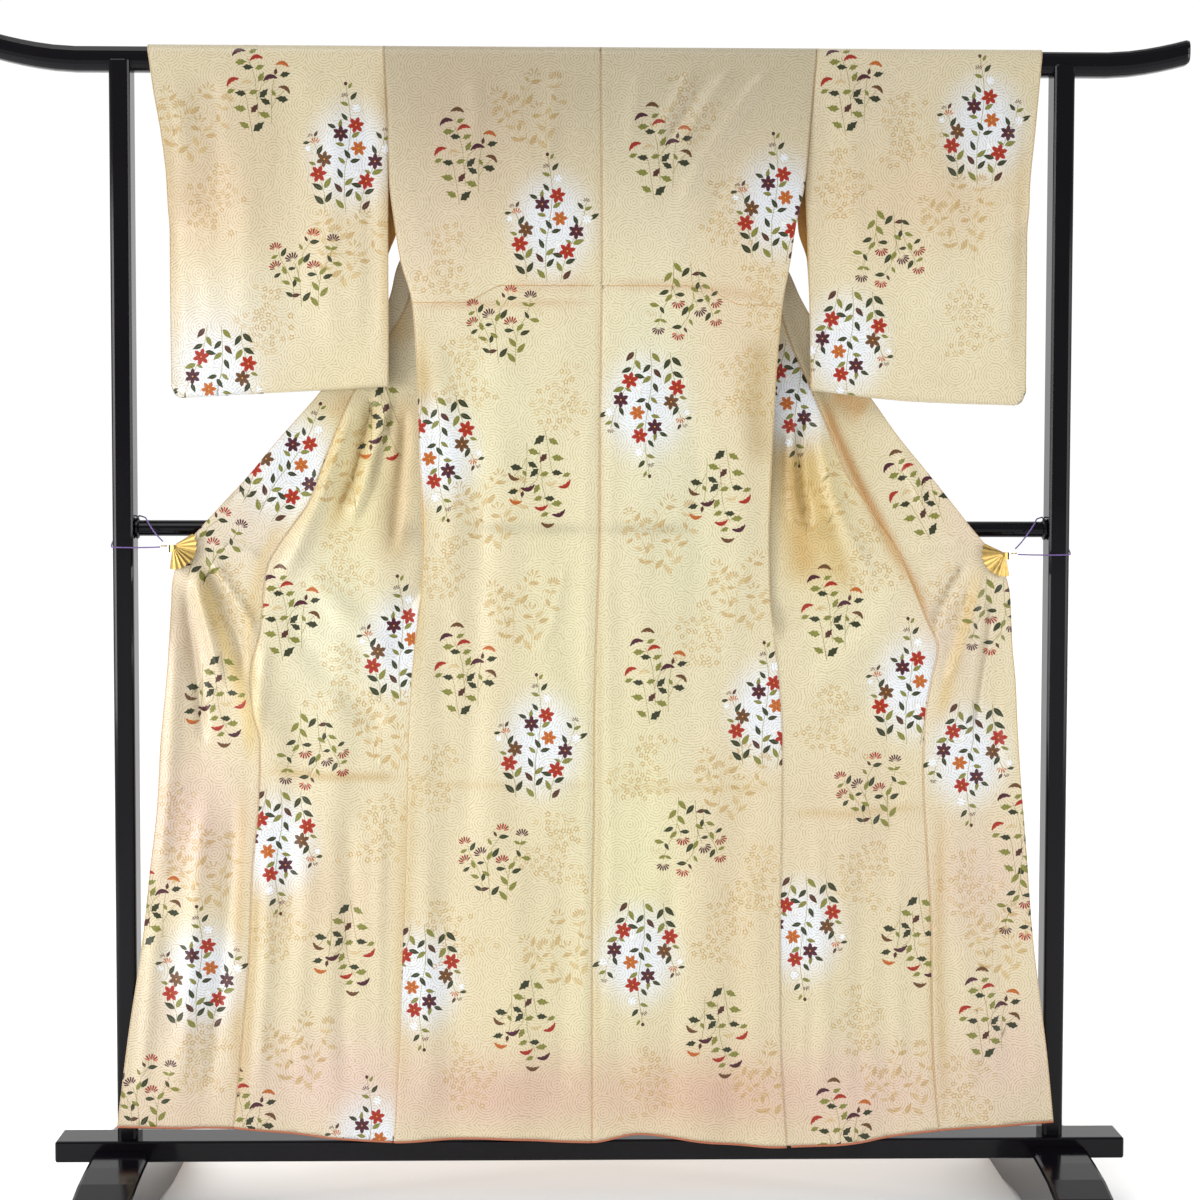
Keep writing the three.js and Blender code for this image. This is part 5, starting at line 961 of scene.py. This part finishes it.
def shell(name, P2, P3, tri, colour, ref, shift=(0.0, 0.0), thick=THICK, sewn=None):
    """Two-faced cloth: printed outside, lining inside, edges closed. ref is a point whose outside faces the eye, sewn the points on a sewn edge."""
    n = normals(P3, tri)
    if n[ref][1] > 0:
        tri = tri[:, ::-1]; n = -n
    N = len(P3)
    verts = np.vstack([P3 + n * thick / 2, P3 - n * thick / 2])
    inner = tri[:, ::-1] + N
    e = np.vstack([tri[:, [0, 1]], tri[:, [1, 2]], tri[:, [2, 0]]])
    key = np.sort(e, axis=1); code = key[:, 0].astype(np.int64) * (N + 1) + key[:, 1]
    _, idx, cnt = np.unique(code, return_index=True, return_counts=True)
    rim = e[idx[cnt == 1]]
    quads = np.c_[rim[:, 1], rim[:, 0], rim[:, 0] + N, rim[:, 1] + N]
    faces = [tuple(f) for f in tri] + [tuple(f) for f in inner] + [tuple(q) for q in quads]
    at_seam = np.zeros(N, bool) if sewn is None else sewn
    mats = [0] * len(tri) + [1] * len(inner) + [1 if at_seam[r].all() else 0 for r in rim]
    ob = new_object(name, verts, faces, [SILK, LINING], mats)
    me = ob.data
    crest, key = DOWN + ARC, name[:-6]
    sgn = -1 if 'left' in key else 1
    rear = (P2[:, 1] > crest).astype(float) if key.startswith('sleeve') else None
    flat_z = np.where(P2[:, 1] > crest, 2 * crest - P2[:, 1], P2[:, 1])
    g = ground(key, P3[:, 0], P3[:, 2], (sgn * P2[:, 0], flat_z), rear)
    loops = np.empty(len(me.loops), dtype=np.int32)
    me.loops.foreach_get("vertex_index", loops)
    rgba = np.ones((len(loops), 4), dtype=np.float32)
    rgba[:, :3] = g[loops % N]
    # painted shade towards the shoulders, laid on the print's inks as well
    shoulder_shade = tone(key, P3[:, 0], P3[:, 2])
    for k, ink in enumerate(colour):
        if ink is not None:
            soft_ink = INK[ink]
            f = FAINT.get(ink, 1.0)
            rgba[3 * k:3 * k + 3, :3] = f * soft_ink * shoulder_shade[loops[3 * k] % N] + (1 - f) * rgba[3 * k:3 * k + 3, :3]
    # the vertex colour holds the print, the dye and the painted shade
    at_ = me.color_attributes.new("PrintAndShade", 'FLOAT_COLOR', 'CORNER')
    at_.data.foreach_set("color", rgba.ravel())
    uv = me.uv_layers.new(name="flat")
    flat = (P2[loops % N] + np.array(shift)) / 1000.0
    uv.data.foreach_set("uv", flat.astype(np.float32).ravel())
    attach(ob, "root")
    return ob


def tube(name, centre, radii, mat, node_name, k=8):
    """A round piping along points; radii is (across, up)."""
    P = np.array(centre, float); n = len(P)
    d = np.gradient(P, axis=0); d /= np.linalg.norm(d, axis=1)[:, None]
    up = np.array([0, 0, 1.0]); side = np.cross(d, up); side /= np.linalg.norm(side, axis=1)[:, None]
    upv = np.cross(side, d)
    verts = []
    for i in range(n):
        for j in range(k):
            a = 2 * math.pi * j / k
            verts.append(P[i] + side[i] * radii[0] * math.cos(a) + upv[i] * radii[1] * math.sin(a))
    faces = [(i * k + j, i * k + (j + 1) % k, (i + 1) * k + (j + 1) % k, (i + 1) * k + j) for i in range(n - 1) for j in range(k)]
    faces += [tuple(range(k))[::-1], tuple((n - 1) * k + j for j in range(k))]
    ob = new_object(name, verts, faces, [mat])
    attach(ob, "root"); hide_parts(node_name)
    return ob


def back_points(s, X, Z):
    z = np.minimum(Z, DOWN); a = np.maximum(Z - DOWN, 0)
    side = back_side[s](z); inside = side - X; near = np.abs(s * X - (back_mid(z) + s * SEAM / 2))
    x = s * X
    mask = soft(0, 45, inside) * soft(DOWN, DOWN - 60, z)
    y = back_y(z) + old_folds(BACK_FOLDS, x, z) * mask
    h = crease_height('back', x, z) + breath(x, z, 0.3 if s < 0 else 1.9)
    run = front[s]['run'](z)
    deep = soft(0, 1, inside / (np.maximum(run, 10) + 38))
    h = np.where(h > 0, h * soft(-4, 34, inside), h * deep)
    y = y - h * soft(DOWN - 2, DOWN - 40, z) * soft(-2, 14, near)
    # the tuck: the cloth above it stands a little proud, the seam itself is drawn in
    zt = tuck(s, x)
    lip = 1.5 * soft(zt - 1.2, zt + 0.6, z) * soft(zt + 60, zt + 4, z) - 0.8 * np.exp(-((z - zt + 2.5) / 2.6) ** 2)
    y = y - lip * soft(-2, 16, inside)
    # seams drawn in at the centre and the sides
    y = y + 1.1 * np.exp(-(near / 2.6) ** 2) * soft(DOWN, DOWN - 30, z) + 0.9 * np.exp(-(inside / 3.0) ** 2) * soft(DOWN, DOWN - 30, z)
    yb, zb_ = over_bar(-1, a)
    y = np.where(a > 0, yb, y)
    zz = np.where(a > 0, zb_, z)
    return np.c_[x, y, zz]


def tuck(s, x):
    return mix(1332, 1357, soft(-190, -128, x)) + (1330 - 1357) * soft(150, 215, x)


def front_row(s, z, q):
    T = front[s]
    run, head, bend = T['run'](z), np.radians(T['head'](z)), T['bend'](z)
    phi = math.pi - head; r = bend / np.maximum(phi, 1e-3)
    side = T['side'](z) + np.where(head > 1.6, SEAM, 0)
    y0, y1 = T['ySide'](z), T['yTurn'](z)
    ex = side - run * np.cos(head); ey = y1 + run * np.sin(head)
    xb = ex - r * (0 - np.sin(head)); yb = ey - r * (-1 - np.cos(head))
    L2 = np.abs(T['seam'](z) - xb); L = run + bend + L2
    d = q * L
    t0 = np.minimum(d / np.maximum(run, 1e-6), 1)
    t1 = np.clip((d - run) / np.maximum(bend, 1e-6), 0, 1)
    t2 = np.clip((d - run - bend) / np.maximum(L2, 1e-6), 0, 1)
    a = head + phi * t1
    x = np.where(d <= run, mix(side, ex, t0), ex - r * (np.sin(a) - np.sin(head)))
    y = np.where(d <= run, mix(y0, ey, t0), ey - r * (np.cos(a) - np.cos(head)))
    leg2 = d > run + bend
    x = np.where(leg2, mix(xb, T['seam'](z), t2), x)
    y = np.where(leg2, mix(yb, T['ySeam'](z), t2) + old_folds(SIDE_FOLDS, s * x, z) * soft(1150, 1040, z) * soft(0, 0.25, t2), y)
    return x, y, L, t2 * L2


def front_span(s, z):
    zz = np.minimum(z, 1625.0)
    _, _, L, _ = front_row(s, zz, np.zeros_like(zz))
    w = soft(1625, 1662, np.minimum(z, 1662))
    return mix(L, back_side[s](z) - NECK, w), mix(front[s]['seam'](zz), NECK, w)


def front_points(s, X, Z):
    L, xmax = front_span(s, np.minimum(Z, DOWN))
    q = np.clip((X - (xmax - L)) / L, -0.03, 1)
    z = np.minimum(Z, DOWN); a = np.maximum(Z - DOWN, 0)
    zr = np.minimum(z, 1625.0)
    x, y, _, out = front_row(s, zr, q)
    w = np.clip((z - 1625) / (1662 - 1625), 0, 1)
    lx = mix(back_side[s](z), NECK, np.clip(q, 0, 1))
    xx = mix(x, lx, w); yy = mix(y, REACH, w)
    key = 'left_front' if s < 0 else 'right_front'
    wx = s * xx
    h = (crease_height(key, wx, z) + breath(wx, z, 3.1 if s < 0 else 4.4)) * soft(2, 30, out) * soft(1500, 1420, z)
    T = front[s]
    edge = T['seam'](zr) - xx
    h = h * soft(-6, 16, edge)
    hidden = 0.8 * breath(wx * 1.3, z, 6.0) * soft(0.02, 0.12, q) * (1 - soft(2, 30, out)) * soft(1400, 1470, z)
    yy = yy - h + hidden * (1 - w) * 0.5
    yy = yy + 0.9 * np.exp(-(edge / 2.6) ** 2) * (1 - w) * soft(1500, 1400, z)
    yb, zb_ = over_bar(1, a)
    yy = np.where(a > 0, yb, yy); zz = np.where(a > 0, zb_, z)
    return np.c_[s * xx, yy, zz]


def overlap_span(s, z):
    T = front[s]
    return T['seam'](z) + 0.15 + 0.02 * T['step'](z) + 0.5 * soft(1360, 1470, z), T['edge'](z)


def overlap_points(s, X, Z):
    T = front[s]; a, b = overlap_span(s, Z)
    t = np.clip((X - a) / np.maximum(b - a, 1e-6), 0, 1); x = mix(a, b, t)
    y = mix(T['ySeam'](Z), T['yEdge'](Z), t) + T['step'](Z) * soft(0, 20, x - a) * soft(1, 0.35, t)
    wx = s * x
    y = y + old_folds(SIDE_FOLDS, wx, Z) * soft(1150, 1040, Z)
    key = 'left_okumi' if s < 0 else 'right_okumi'
    clip = np.exp(-(((np.abs(x) - 597) / 34) ** 2) - ((Z - 979) / 26) ** 2)
    h = (crease_height(key, wx, Z) + breath(wx, Z, 7.7 if s < 0 else 9.1)) * soft(-4, 16, x - a) * (1 - 0.85 * clip)
    h = h * mix(1.0, 0.45, soft(10, 0, b - x))
    y = y - h + 0.8 * np.exp(-((x - a) / 2.6) ** 2)
    return np.c_[wx, y, Z]


def sleeve_span(s, Z):
    """Inner and outer edge along the ring: front layer up to the crest, rear layer beyond it."""
    crest = DOWN + ARC
    rear = Z > crest
    w = np.where(rear, 2 * crest - Z, Z); z = np.clip(w, 1180, 1697)
    out, ib, if_ = (f(z) for f in sleeve[s])
    rr = mix(if_, front[s]['side'](z) + 0.8, soft(1462, 1500, z) * soft(1655, 1640, z))
    rr = np.where(z > 1655, ib, rr)
    return np.where(rear, rr, ib), out


def sleeve_low(s, u):
    return low[s](u) + 20 * (1 - np.sqrt(np.maximum(0, 1 - np.maximum(0, (u - 0.945) / 0.0551) ** 2)))


def sleeve_r(u, z):
    return mix(half_r(z), 1.9, soft(0.8, 1, u) * soft(1480, 1430, z))


def sleeve_points(s, X, Z):
    crest = DOWN + ARC
    rear = Z > crest
    w = np.where(rear, 2 * crest - Z, Z)
    inn, out = sleeve_span(s, Z)
    u = np.clip((X - inn) / (out - inn), 0, 1)
    lowz = sleeve_low(s, u); r0 = sleeve_r(u, lowz); z0 = lowz + r0
    side = np.where(rear, 1.0, -1.0)
    z = np.clip(w, z0, DOWN)
    y = half_mid(z) + side * sleeve_r(u, z) + np.where(rear, 0, 1.6 * np.sin(u * 9 + s) * soft(1640, 1450, z) * mix(1, 0.8, soft(0, 1, u)))
    b = np.clip((z0 - w) / np.maximum(r0, 1e-6), 0, math.pi / 2)
    y = np.where(w < z0, half_mid(lowz) + side * r0 * np.cos(b), y)
    zz = np.where(w < z0, lowz + r0 * (1 - np.sin(b)), z)
    a = np.maximum(w - DOWN, 0)
    yb, zb_ = over_bar(-1, a)
    y = np.where(a > 0, -side * yb, y); zz = np.where(a > 0, zb_, zz)
    x = s * mix(inn, out, u)
    key = 'left_sleeve' if s < 0 else 'right_sleeve'
    h = crease_height(key, x, zz) + breath(x, zz, 11.0 if s < 0 else 12.5)
    h2 = breath(x * 1.1, zz, 15.0) * 1.8 + 1.5 * np.sin(x / 31 + s) * soft(1640, 1300, zz)
    room = soft(0, 26, zz - lowz - 2) * soft(DOWN - 2, DOWN - 44, zz) * soft(-6, 18, X - inn) * (1 - 0.7 * soft(0.86, 1, u))
    h = h * room
    y = np.where(rear, y + np.clip(h2 * room, -3, 3), y - np.where(h < 0, np.maximum(h, -2.2), h))
    y = y + np.where(rear, -1, 1) * 0.7 * np.exp(-((X - inn) / 2.8) ** 2) * soft(DOWN, DOWN - 20, zz)
    return np.c_[x, y, zz]


PIECES = {}
LIMIT = {}
for s, tag in ((-1, 'left'), (1, 'right')):
    # back
    lo_b = (lambda z, s=s: -back_mid(z) + SEAM / 2 - 0.12 if s < 0 else back_mid(z) + SEAM / 2 - 0.12)
    hi_b = (lambda z, s=s: back_side[s](z))
    zb_ = (lambda x, s=s: hem(s * np.asarray(x)))
    xs = np.arange(0, 330, 6.0)
    zt = tuck(s, s * xs)
    band = np.vstack([np.c_[xs, zt + 0.8], np.c_[xs[::-1], (zt - 0.8)[::-1]]])
    band2 = np.vstack([np.c_[xs, zt + 1.6], np.c_[xs[::-1], (zt + 0.9)[::-1]]])
    P2, tri, colour, edge = cut(f'back_{tag}', s, lo_b, hi_b, DOWN + ARC, zb_, [(band, 'seam'), (band2, None)])
    P3 = back_points(s, P2[:, 0], P2[:, 1])
    ref = int(np.argmin(np.hypot(P2[:, 0] - 150, P2[:, 1] - 900)))
    PIECES['back_' + tag] = shell(f'back_{tag}_cloth', P2, P3, tri, colour, ref, (s * 700, 0))
    LIMIT['back_' + tag] = P3[edge]

    lo_f = (lambda z, s=s: (lambda L, m: m - L)(*front_span(s, np.asarray(z, float))) - 4.0 * soft(885, 850, np.asarray(z, float)))
    hi_f = (lambda z, s=s: front_span(s, np.asarray(z, float))[1])
    zb_f = (lambda x, s=s: hem(s * np.maximum(np.asarray(x, float), 288)))
    P2, tri, colour, edge = cut(f'front_{tag}', s, lo_f, hi_f, DOWN + ARC, zb_f)
    P3 = front_points(s, P2[:, 0], P2[:, 1])
    ref = int(np.argmin(np.hypot(P2[:, 0] - 390, P2[:, 1] - 500)))
    PIECES['front_' + tag] = shell(f'front_{tag}_cloth', P2, P3, tri, colour, ref, (s * 1500, 300), sewn=P2[:, 0] > hi_f(P2[:, 1]) - 0.05)
    LIMIT['front_' + tag] = P3[edge]

    lo_o = (lambda z, s=s: overlap_span(s, z)[0]); hi_o = (lambda z, s=s: overlap_span(s, z)[1])
    P2, tri, colour, edge = cut(f'overlap_{tag}', s, lo_o, hi_o, 1496.0, zb_)
    P3 = overlap_points(s, P2[:, 0], P2[:, 1])
    ref = int(np.argmin(np.hypot(P2[:, 0] - 570, P2[:, 1] - 500)))
    PIECES['overlap_' + tag] = shell(f'overlap_{tag}_cloth', P2, P3, tri, colour, ref, (s * 2300, 700), sewn=P2[:, 0] < lo_o(P2[:, 1]) + 0.05)
    LIMIT['overlap_' + tag] = P3[edge]

    crest = DOWN + ARC
    lo_s = (lambda z, s=s: sleeve_span(s, np.asarray(z, float))[0]); hi_s = (lambda z, s=s: sleeve_span(s, np.asarray(z, float))[1])

    def under(x, s=s):
        x = np.asarray(x, float); z = np.full_like(x, 1200.0)
        inn, out = sleeve_span(s, z); u = np.clip((x - inn) / (out - inn), 0, 1)
        lz = sleeve_low(s, u); r0 = sleeve_r(u, lz)
        return lz + r0 - r0 * math.pi / 2
    LOWEST = {}
    # the ring is cut open along its lowest line: its near half, then its far half, joined over the bar
    P2a, tria, ca, ea = cut(f'sleeve_{tag}', s, lo_s, hi_s, crest, under)
    lo_r = (lambda z, s=s: sleeve_span(s, 2 * (DOWN + ARC) - np.asarray(z, float) + 1e-6)[0])
    P2b, trib, cb, eb = cut(f'rear_{tag}', s, lo_r, hi_s, crest, under)
    A = sleeve_points(s, P2a[:, 0], P2a[:, 1])
    B = sleeve_points(s, P2b[:, 0], 2 * crest - P2b[:, 1] + 1e-6)
    P2 = np.vstack([P2a, np.c_[P2b[:, 0], 2 * crest - P2b[:, 1]]])
    P3 = np.vstack([A, B]); tri = np.vstack([tria, trib[:, ::-1] + len(A)])
    # weld the two halves at the crest and along the lowest line
    key = {}
    remap = np.arange(len(P3))
    rim_pts = np.where((np.abs(P2[:, 1] - crest) < 1e-3))[0].tolist() + ea + [len(A) + e for e in eb]
    for i in rim_pts:
        k = tuple(np.round(P3[i] / 0.4).astype(int))
        hit = None
        for dx in (0, -1, 1):
            for dy in (0, -1, 1):
                for dz in (0, -1, 1):
                    j = key.get((k[0] + dx, k[1] + dy, k[2] + dz))
                    if j is not None and np.linalg.norm(P3[j] - P3[i]) < 0.35:
                        hit = j
        if hit is None:
            key[k] = i
        else:
            remap[i] = hit
    tri = remap[tri]
    ok = (tri[:, 0] != tri[:, 1]) & (tri[:, 1] != tri[:, 2]) & (tri[:, 0] != tri[:, 2])
    tri = tri[ok]; colour = [c for c, k in zip(ca + cb, ok) if k]
    used = np.unique(tri); back_ = np.full(len(P3), -1); back_[used] = np.arange(len(used))
    P2, P3, tri = P2[used], P3[used], back_[tri]
    ref = int(np.argmin(np.hypot(P2[:, 0] - 470, P2[:, 1] - 1450)))
    PIECES['sleeve_' + tag] = shell(f'sleeve_{tag}_cloth', P2, P3, tri, colour, ref, (s * 3100, 1100))

for n_, o_ in PIECES.items():
    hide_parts(n_)
for part in ('back', 'front', 'overlap'):
    for tag in ('left', 'right'):
        line = LIMIT[f'{part}_{tag}'].copy()
        if part == 'front':
            line = line[np.abs(line[:, 0]) > 286]
        line[:, 2] -= 1.6
        tube(f'hem_{part}_{tag}_piping', line, (1.5, 1.7), PIPING, f'hem_{part}_{tag}')

# ---------------------------------------------------------------- collar band
BAND = 3.0


def outer_y(s, ax, z):
    z = np.array([float(z)]); ax = np.array([float(ax)])
    if z[0] > 1640:
        return REACH
    T = front[s]
    if ax[0] >= T['seam'](z)[0]:
        a, b = overlap_span(s, z)
        t = np.clip((ax - T['seam'](z)) / max(1, (T['edge'](z) - T['seam'](z))[0]), 0, 1)
        x = mix(a, b, t)
        y = mix(T['ySeam'](z), T['yEdge'](z), t) + T['step'](z) * soft(0, 20, x - a) * soft(1, 0.35, t) + old_folds(SIDE_FOLDS, s * x, z) * soft(1150, 1040, z)
        return float(y[0])
    x2, y2, L, _ = front_row(s, z, np.array([1.0]))
    run, bend = T['run'](z), T['bend'](z)
    qa = (run + bend) / L
    x1, y1, _, _ = front_row(s, z, qa + 1e-6)
    t = float(np.clip((ax - x1) / (x2 - x1), 0, 1)[0])
    _, y, _, _ = front_row(s, z, qa + (1 - qa) * t + 1e-6)
    return float(y[0])


def collar_side(s):
    rows = []
    T = front[s]
    for z in (990, 1013, 1048, 1087, 1131, 1165, 1198, 1234, 1270, 1306, 1342, 1385, 1430, 1490, 1553, 1600, 1640):
        e = lambda q: NECK if q > 1640 else float(T['edge'](np.array([float(q)]))[0])
        dx = e(z + 12) - e(z - 12); l = math.hypot(dx, 24); nx, nz = -24 / l, dx / l
        wide = mix(72, 56, float(soft(983, 1600, np.array([float(z)]))[0]))
        row = []
        for k in (0, 0.2, 0.4, 0.6, 0.8, 1):
            ax, zz = e(z) - 1.2 + nx * wide * k, z + nz * wide * k
            row.append((s * ax, outer_y(s, max(ax, 0), min(zz, 1640)) + WALL / 2 + 1.7 + BAND / 2 + 1.2 * k, zz))
        rows.append(row)
    return rows


def collar():
    off = EASE + BAND / 2 + 0.5; turn = BAR['round'] + off

    def top(x, ang):
        arc = lambda deg: (FLAT + turn * math.sin(math.radians(deg)), BAR['top'] - BAR['round'] + turn * math.cos(math.radians(deg)))
        line = [(SEAM + 0.2, BAR['top'] + off), arc(0), arc(45), arc(90), (BAR['deep'] / 2 + off + 0.6, 1664), (BAR['deep'] / 2 + off + 2, 1646)]
        return [(x + ang * k * 2, y, z) for k, (y, z) in enumerate(line)]
    CORNER = [
        (52, [24.2, 24.5, 24.8, 25.1, 25.4, 25.7], [1667, 1666, 1665, 1664, 1663, 1662]),
        (49, [23.1, 24.1, 24.8, 25.2, 25.6, 26], [1685, 1683, 1678, 1671.5, 1665, 1659.5]),
        (46, [18.4, 22.6, 24.3, 25.1, 25.6, 26], [1695.8, 1691, 1684, 1675.5, 1667, 1658]),
        (42, [7, 14.5, 21.4, 24.4, 25.4, 26], [1699.8, 1698.6, 1692.4, 1681, 1668, 1656])]
    corner = lambda s: [[(s * (NECK - 1 - span * k / 5), ys[k], zs[k]) for k in range(6)] for span, ys, zs in CORNER]
    mid = [top(x, a) for x, a in ((-50, 2), (-25, 1.1), (0, 0), (25, -1.1), (50, -2))]
    G = np.array(collar_side(-1) + corner(-1) + mid + corner(1)[::-1] + collar_side(1)[::-1])
    # finer along and across
    n, m = G.shape[:2]
    fine = []
    for i in range(n - 1):
        p0, p1, p2, p3 = G[max(0, i - 1)], G[i], G[i + 1], G[min(n - 1, i + 2)]
        steps = 6 if 16 < i < 25 else 8
        for t in np.arange(steps) / steps:
            c = 0.5 * ((2 * p1) + (-p0 + p2) * t + (2 * p0 - 5 * p1 + 4 * p2 - p3) * t * t + (-p0 + 3 * p1 - 3 * p2 + p3) * t ** 3)
            lin = mix(p1, p2, t)
            fine.append(mix(lin, c, 0.6))
    fine.append(G[-1])
    F = np.array(fine)
    ts = np.linspace(0, 1, 15)
    base = np.linspace(0, 1, m)
    out = np.stack([np.stack([np.interp(ts, base, row[:, c]) for c in range(3)], 1) for row in F])
    du = np.gradient(out, axis=1); dv = np.gradient(out, axis=0)
    nn = np.cross(du, dv); nn /= np.maximum(np.linalg.norm(nn, axis=2), 1e-9)[..., None]
    half = BAND / 2 * np.sqrt(np.clip(1 - np.abs(2 * ts - 1) ** 6, 0.05, 1))
    half = half - 0.35 * np.exp(-((ts - 0.5) / 0.04) ** 2) * 0 - 0.5 * np.exp(-((ts - 0.9) / 0.03) ** 2)
    A = out + nn * half[None, :, None]; B = out - nn * half[None, :, None]
    N = A.shape[0] * A.shape[1]; cols = A.shape[1]
    verts = np.vstack([A.reshape(-1, 3), B.reshape(-1, 3)])
    faces = []
    R = A.shape[0]
    for j in range(R - 1):
        for i in range(cols - 1):
            a, b, c, d = j * cols + i, j * cols + i + 1, (j + 1) * cols + i + 1, (j + 1) * cols + i
            faces.append((a, b, c, d)); faces.append((N + a, N + d, N + c, N + b))
        for i, sw in ((0, False), (cols - 1, True)):
            a, d = j * cols + i, (j + 1) * cols + i
            faces.append((a, N + a, N + d, d) if sw else (a, d, N + d, N + a))
    for i in range(cols - 1):
        faces.append((i, N + i, N + i + 1, i + 1))
        a = (R - 1) * cols + i
        faces.append((a, a + 1, N + a + 1, N + a))
    ob = new_object('collar_band', verts, faces, [SILK])
    me = ob.data
    import bmesh
    bm = bmesh.new(); bm.from_mesh(me); bmesh.ops.recalc_face_normals(bm, faces=bm.faces); bm.to_mesh(me); bm.free()
    P2 = np.stack(np.meshgrid(np.arange(cols) * 4.6, np.arange(R) * 13.0), -1).reshape(-1, 2)
    loops = np.empty(len(me.loops), dtype=np.int32); me.loops.foreach_get("vertex_index", loops)
    g = ground('collar', verts[:N, 0], verts[:N, 2] * 0 + 1300)
    rgba = np.ones((len(loops), 4), dtype=np.float32); rgba[:, :3] = g[loops % N]
    c_ = me.color_attributes.new("PrintAndShade", 'FLOAT_COLOR', 'CORNER'); c_.data.foreach_set("color", rgba.ravel())
    uv = me.uv_layers.new(name="flat"); uv.data.foreach_set("uv", (P2[loops % N] / 1000).astype(np.float32).ravel())
    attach(ob, "root"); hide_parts("collar")
    return ob


PIECES['collar'] = collar()

# ---------------------------------------------------------------- stage and light
def plain(name, color, rough=0.8):
    m, nt, b = material(name, rough, 0, color)
    w = node(nt, "ShaderNodeTexNoise", {"Vector": node(nt, "ShaderNodeTexCoord").outputs["Object"], "Scale": 3.0})
    c = node(nt, "ShaderNodeMix", {0: w.outputs[0], 6: tuple(v * 0.985 for v in color) + (1,), 7: (*color, 1)}, data_type='RGBA').outputs[2]
    nt.links.new(c, b.inputs["Base Color"])
    b.inputs["Specular IOR Level"].default_value = 0.2
    return m


floor = new_object("floor", [(-30000, -30000, -0.2), (30000, -30000, -0.2), (30000, 30000, -0.2), (-30000, 30000, -0.2)], [(0, 1, 2, 3)], [plain("floor_pale", (0.955, 0.955, 0.955))])
world = bpy.data.worlds.new("world"); bpy.context.scene.world = world
world.use_nodes = True
wt = world.node_tree
sky = node(wt, "ShaderNodeSeparateXYZ", {0: node(wt, "ShaderNodeTexCoord").outputs["Generated"]})
sky = node(wt, "ShaderNodeMapRange", {"Value": sky.outputs[1], "From Min": -0.35, "From Max": 0.25, "To Min": 0.40, "To Max": 1.02}, interpolation_type='SMOOTHSTEP')
wt.nodes["Background"].inputs[0].default_value = (1.0, 1.0, 1.0, 1)
wt.links.new(sky.outputs[0], wt.nodes["Background"].inputs[1])


def area(name, loc, target, size, watts, color=(1, 1, 1)):
    L = bpy.data.lights.new(name, 'AREA'); L.energy = watts; L.shape = 'RECTANGLE'; L.size, L.size_y = size; L.color = color
    o = bpy.data.objects.new(name, L); bpy.context.scene.collection.objects.link(o)
    o.location = loc
    o.rotation_euler = (Vector(target) - Vector(loc)).to_track_quat('-Z', 'Y').to_euler()
    return o


area("key", (-2.9, -2.1, 1.1), (0, 0, 0.75), (1.0, 1.4), 62)
area("fill", (2.9, -2.2, 1.0), (0, 0, 0.8), (0.9, 1.4), 20)
area("strip_left", (-2.4, -0.6, 1.0), (-0.6, 0, 0.9), (0.18, 2.6), 16)
area("strip_right", (2.4, -0.6, 1.0), (0.6, 0, 0.9), (0.18, 2.6), 15)
SUN = bpy.data.lights.new("top", 'SUN'); SUN.energy = 1.8; SUN.angle = math.radians(45)
sun = bpy.data.objects.new("top", SUN); bpy.context.scene.collection.objects.link(sun)
sun.rotation_euler = Vector((0.35, 0.55, -1.0)).to_track_quat('-Z', 'Y').to_euler()
bpy.context.scene.view_settings.view_transform = 'Standard'
bpy.context.scene.view_settings.look = 'None'
bpy.context.scene.view_settings.exposure = 0.0
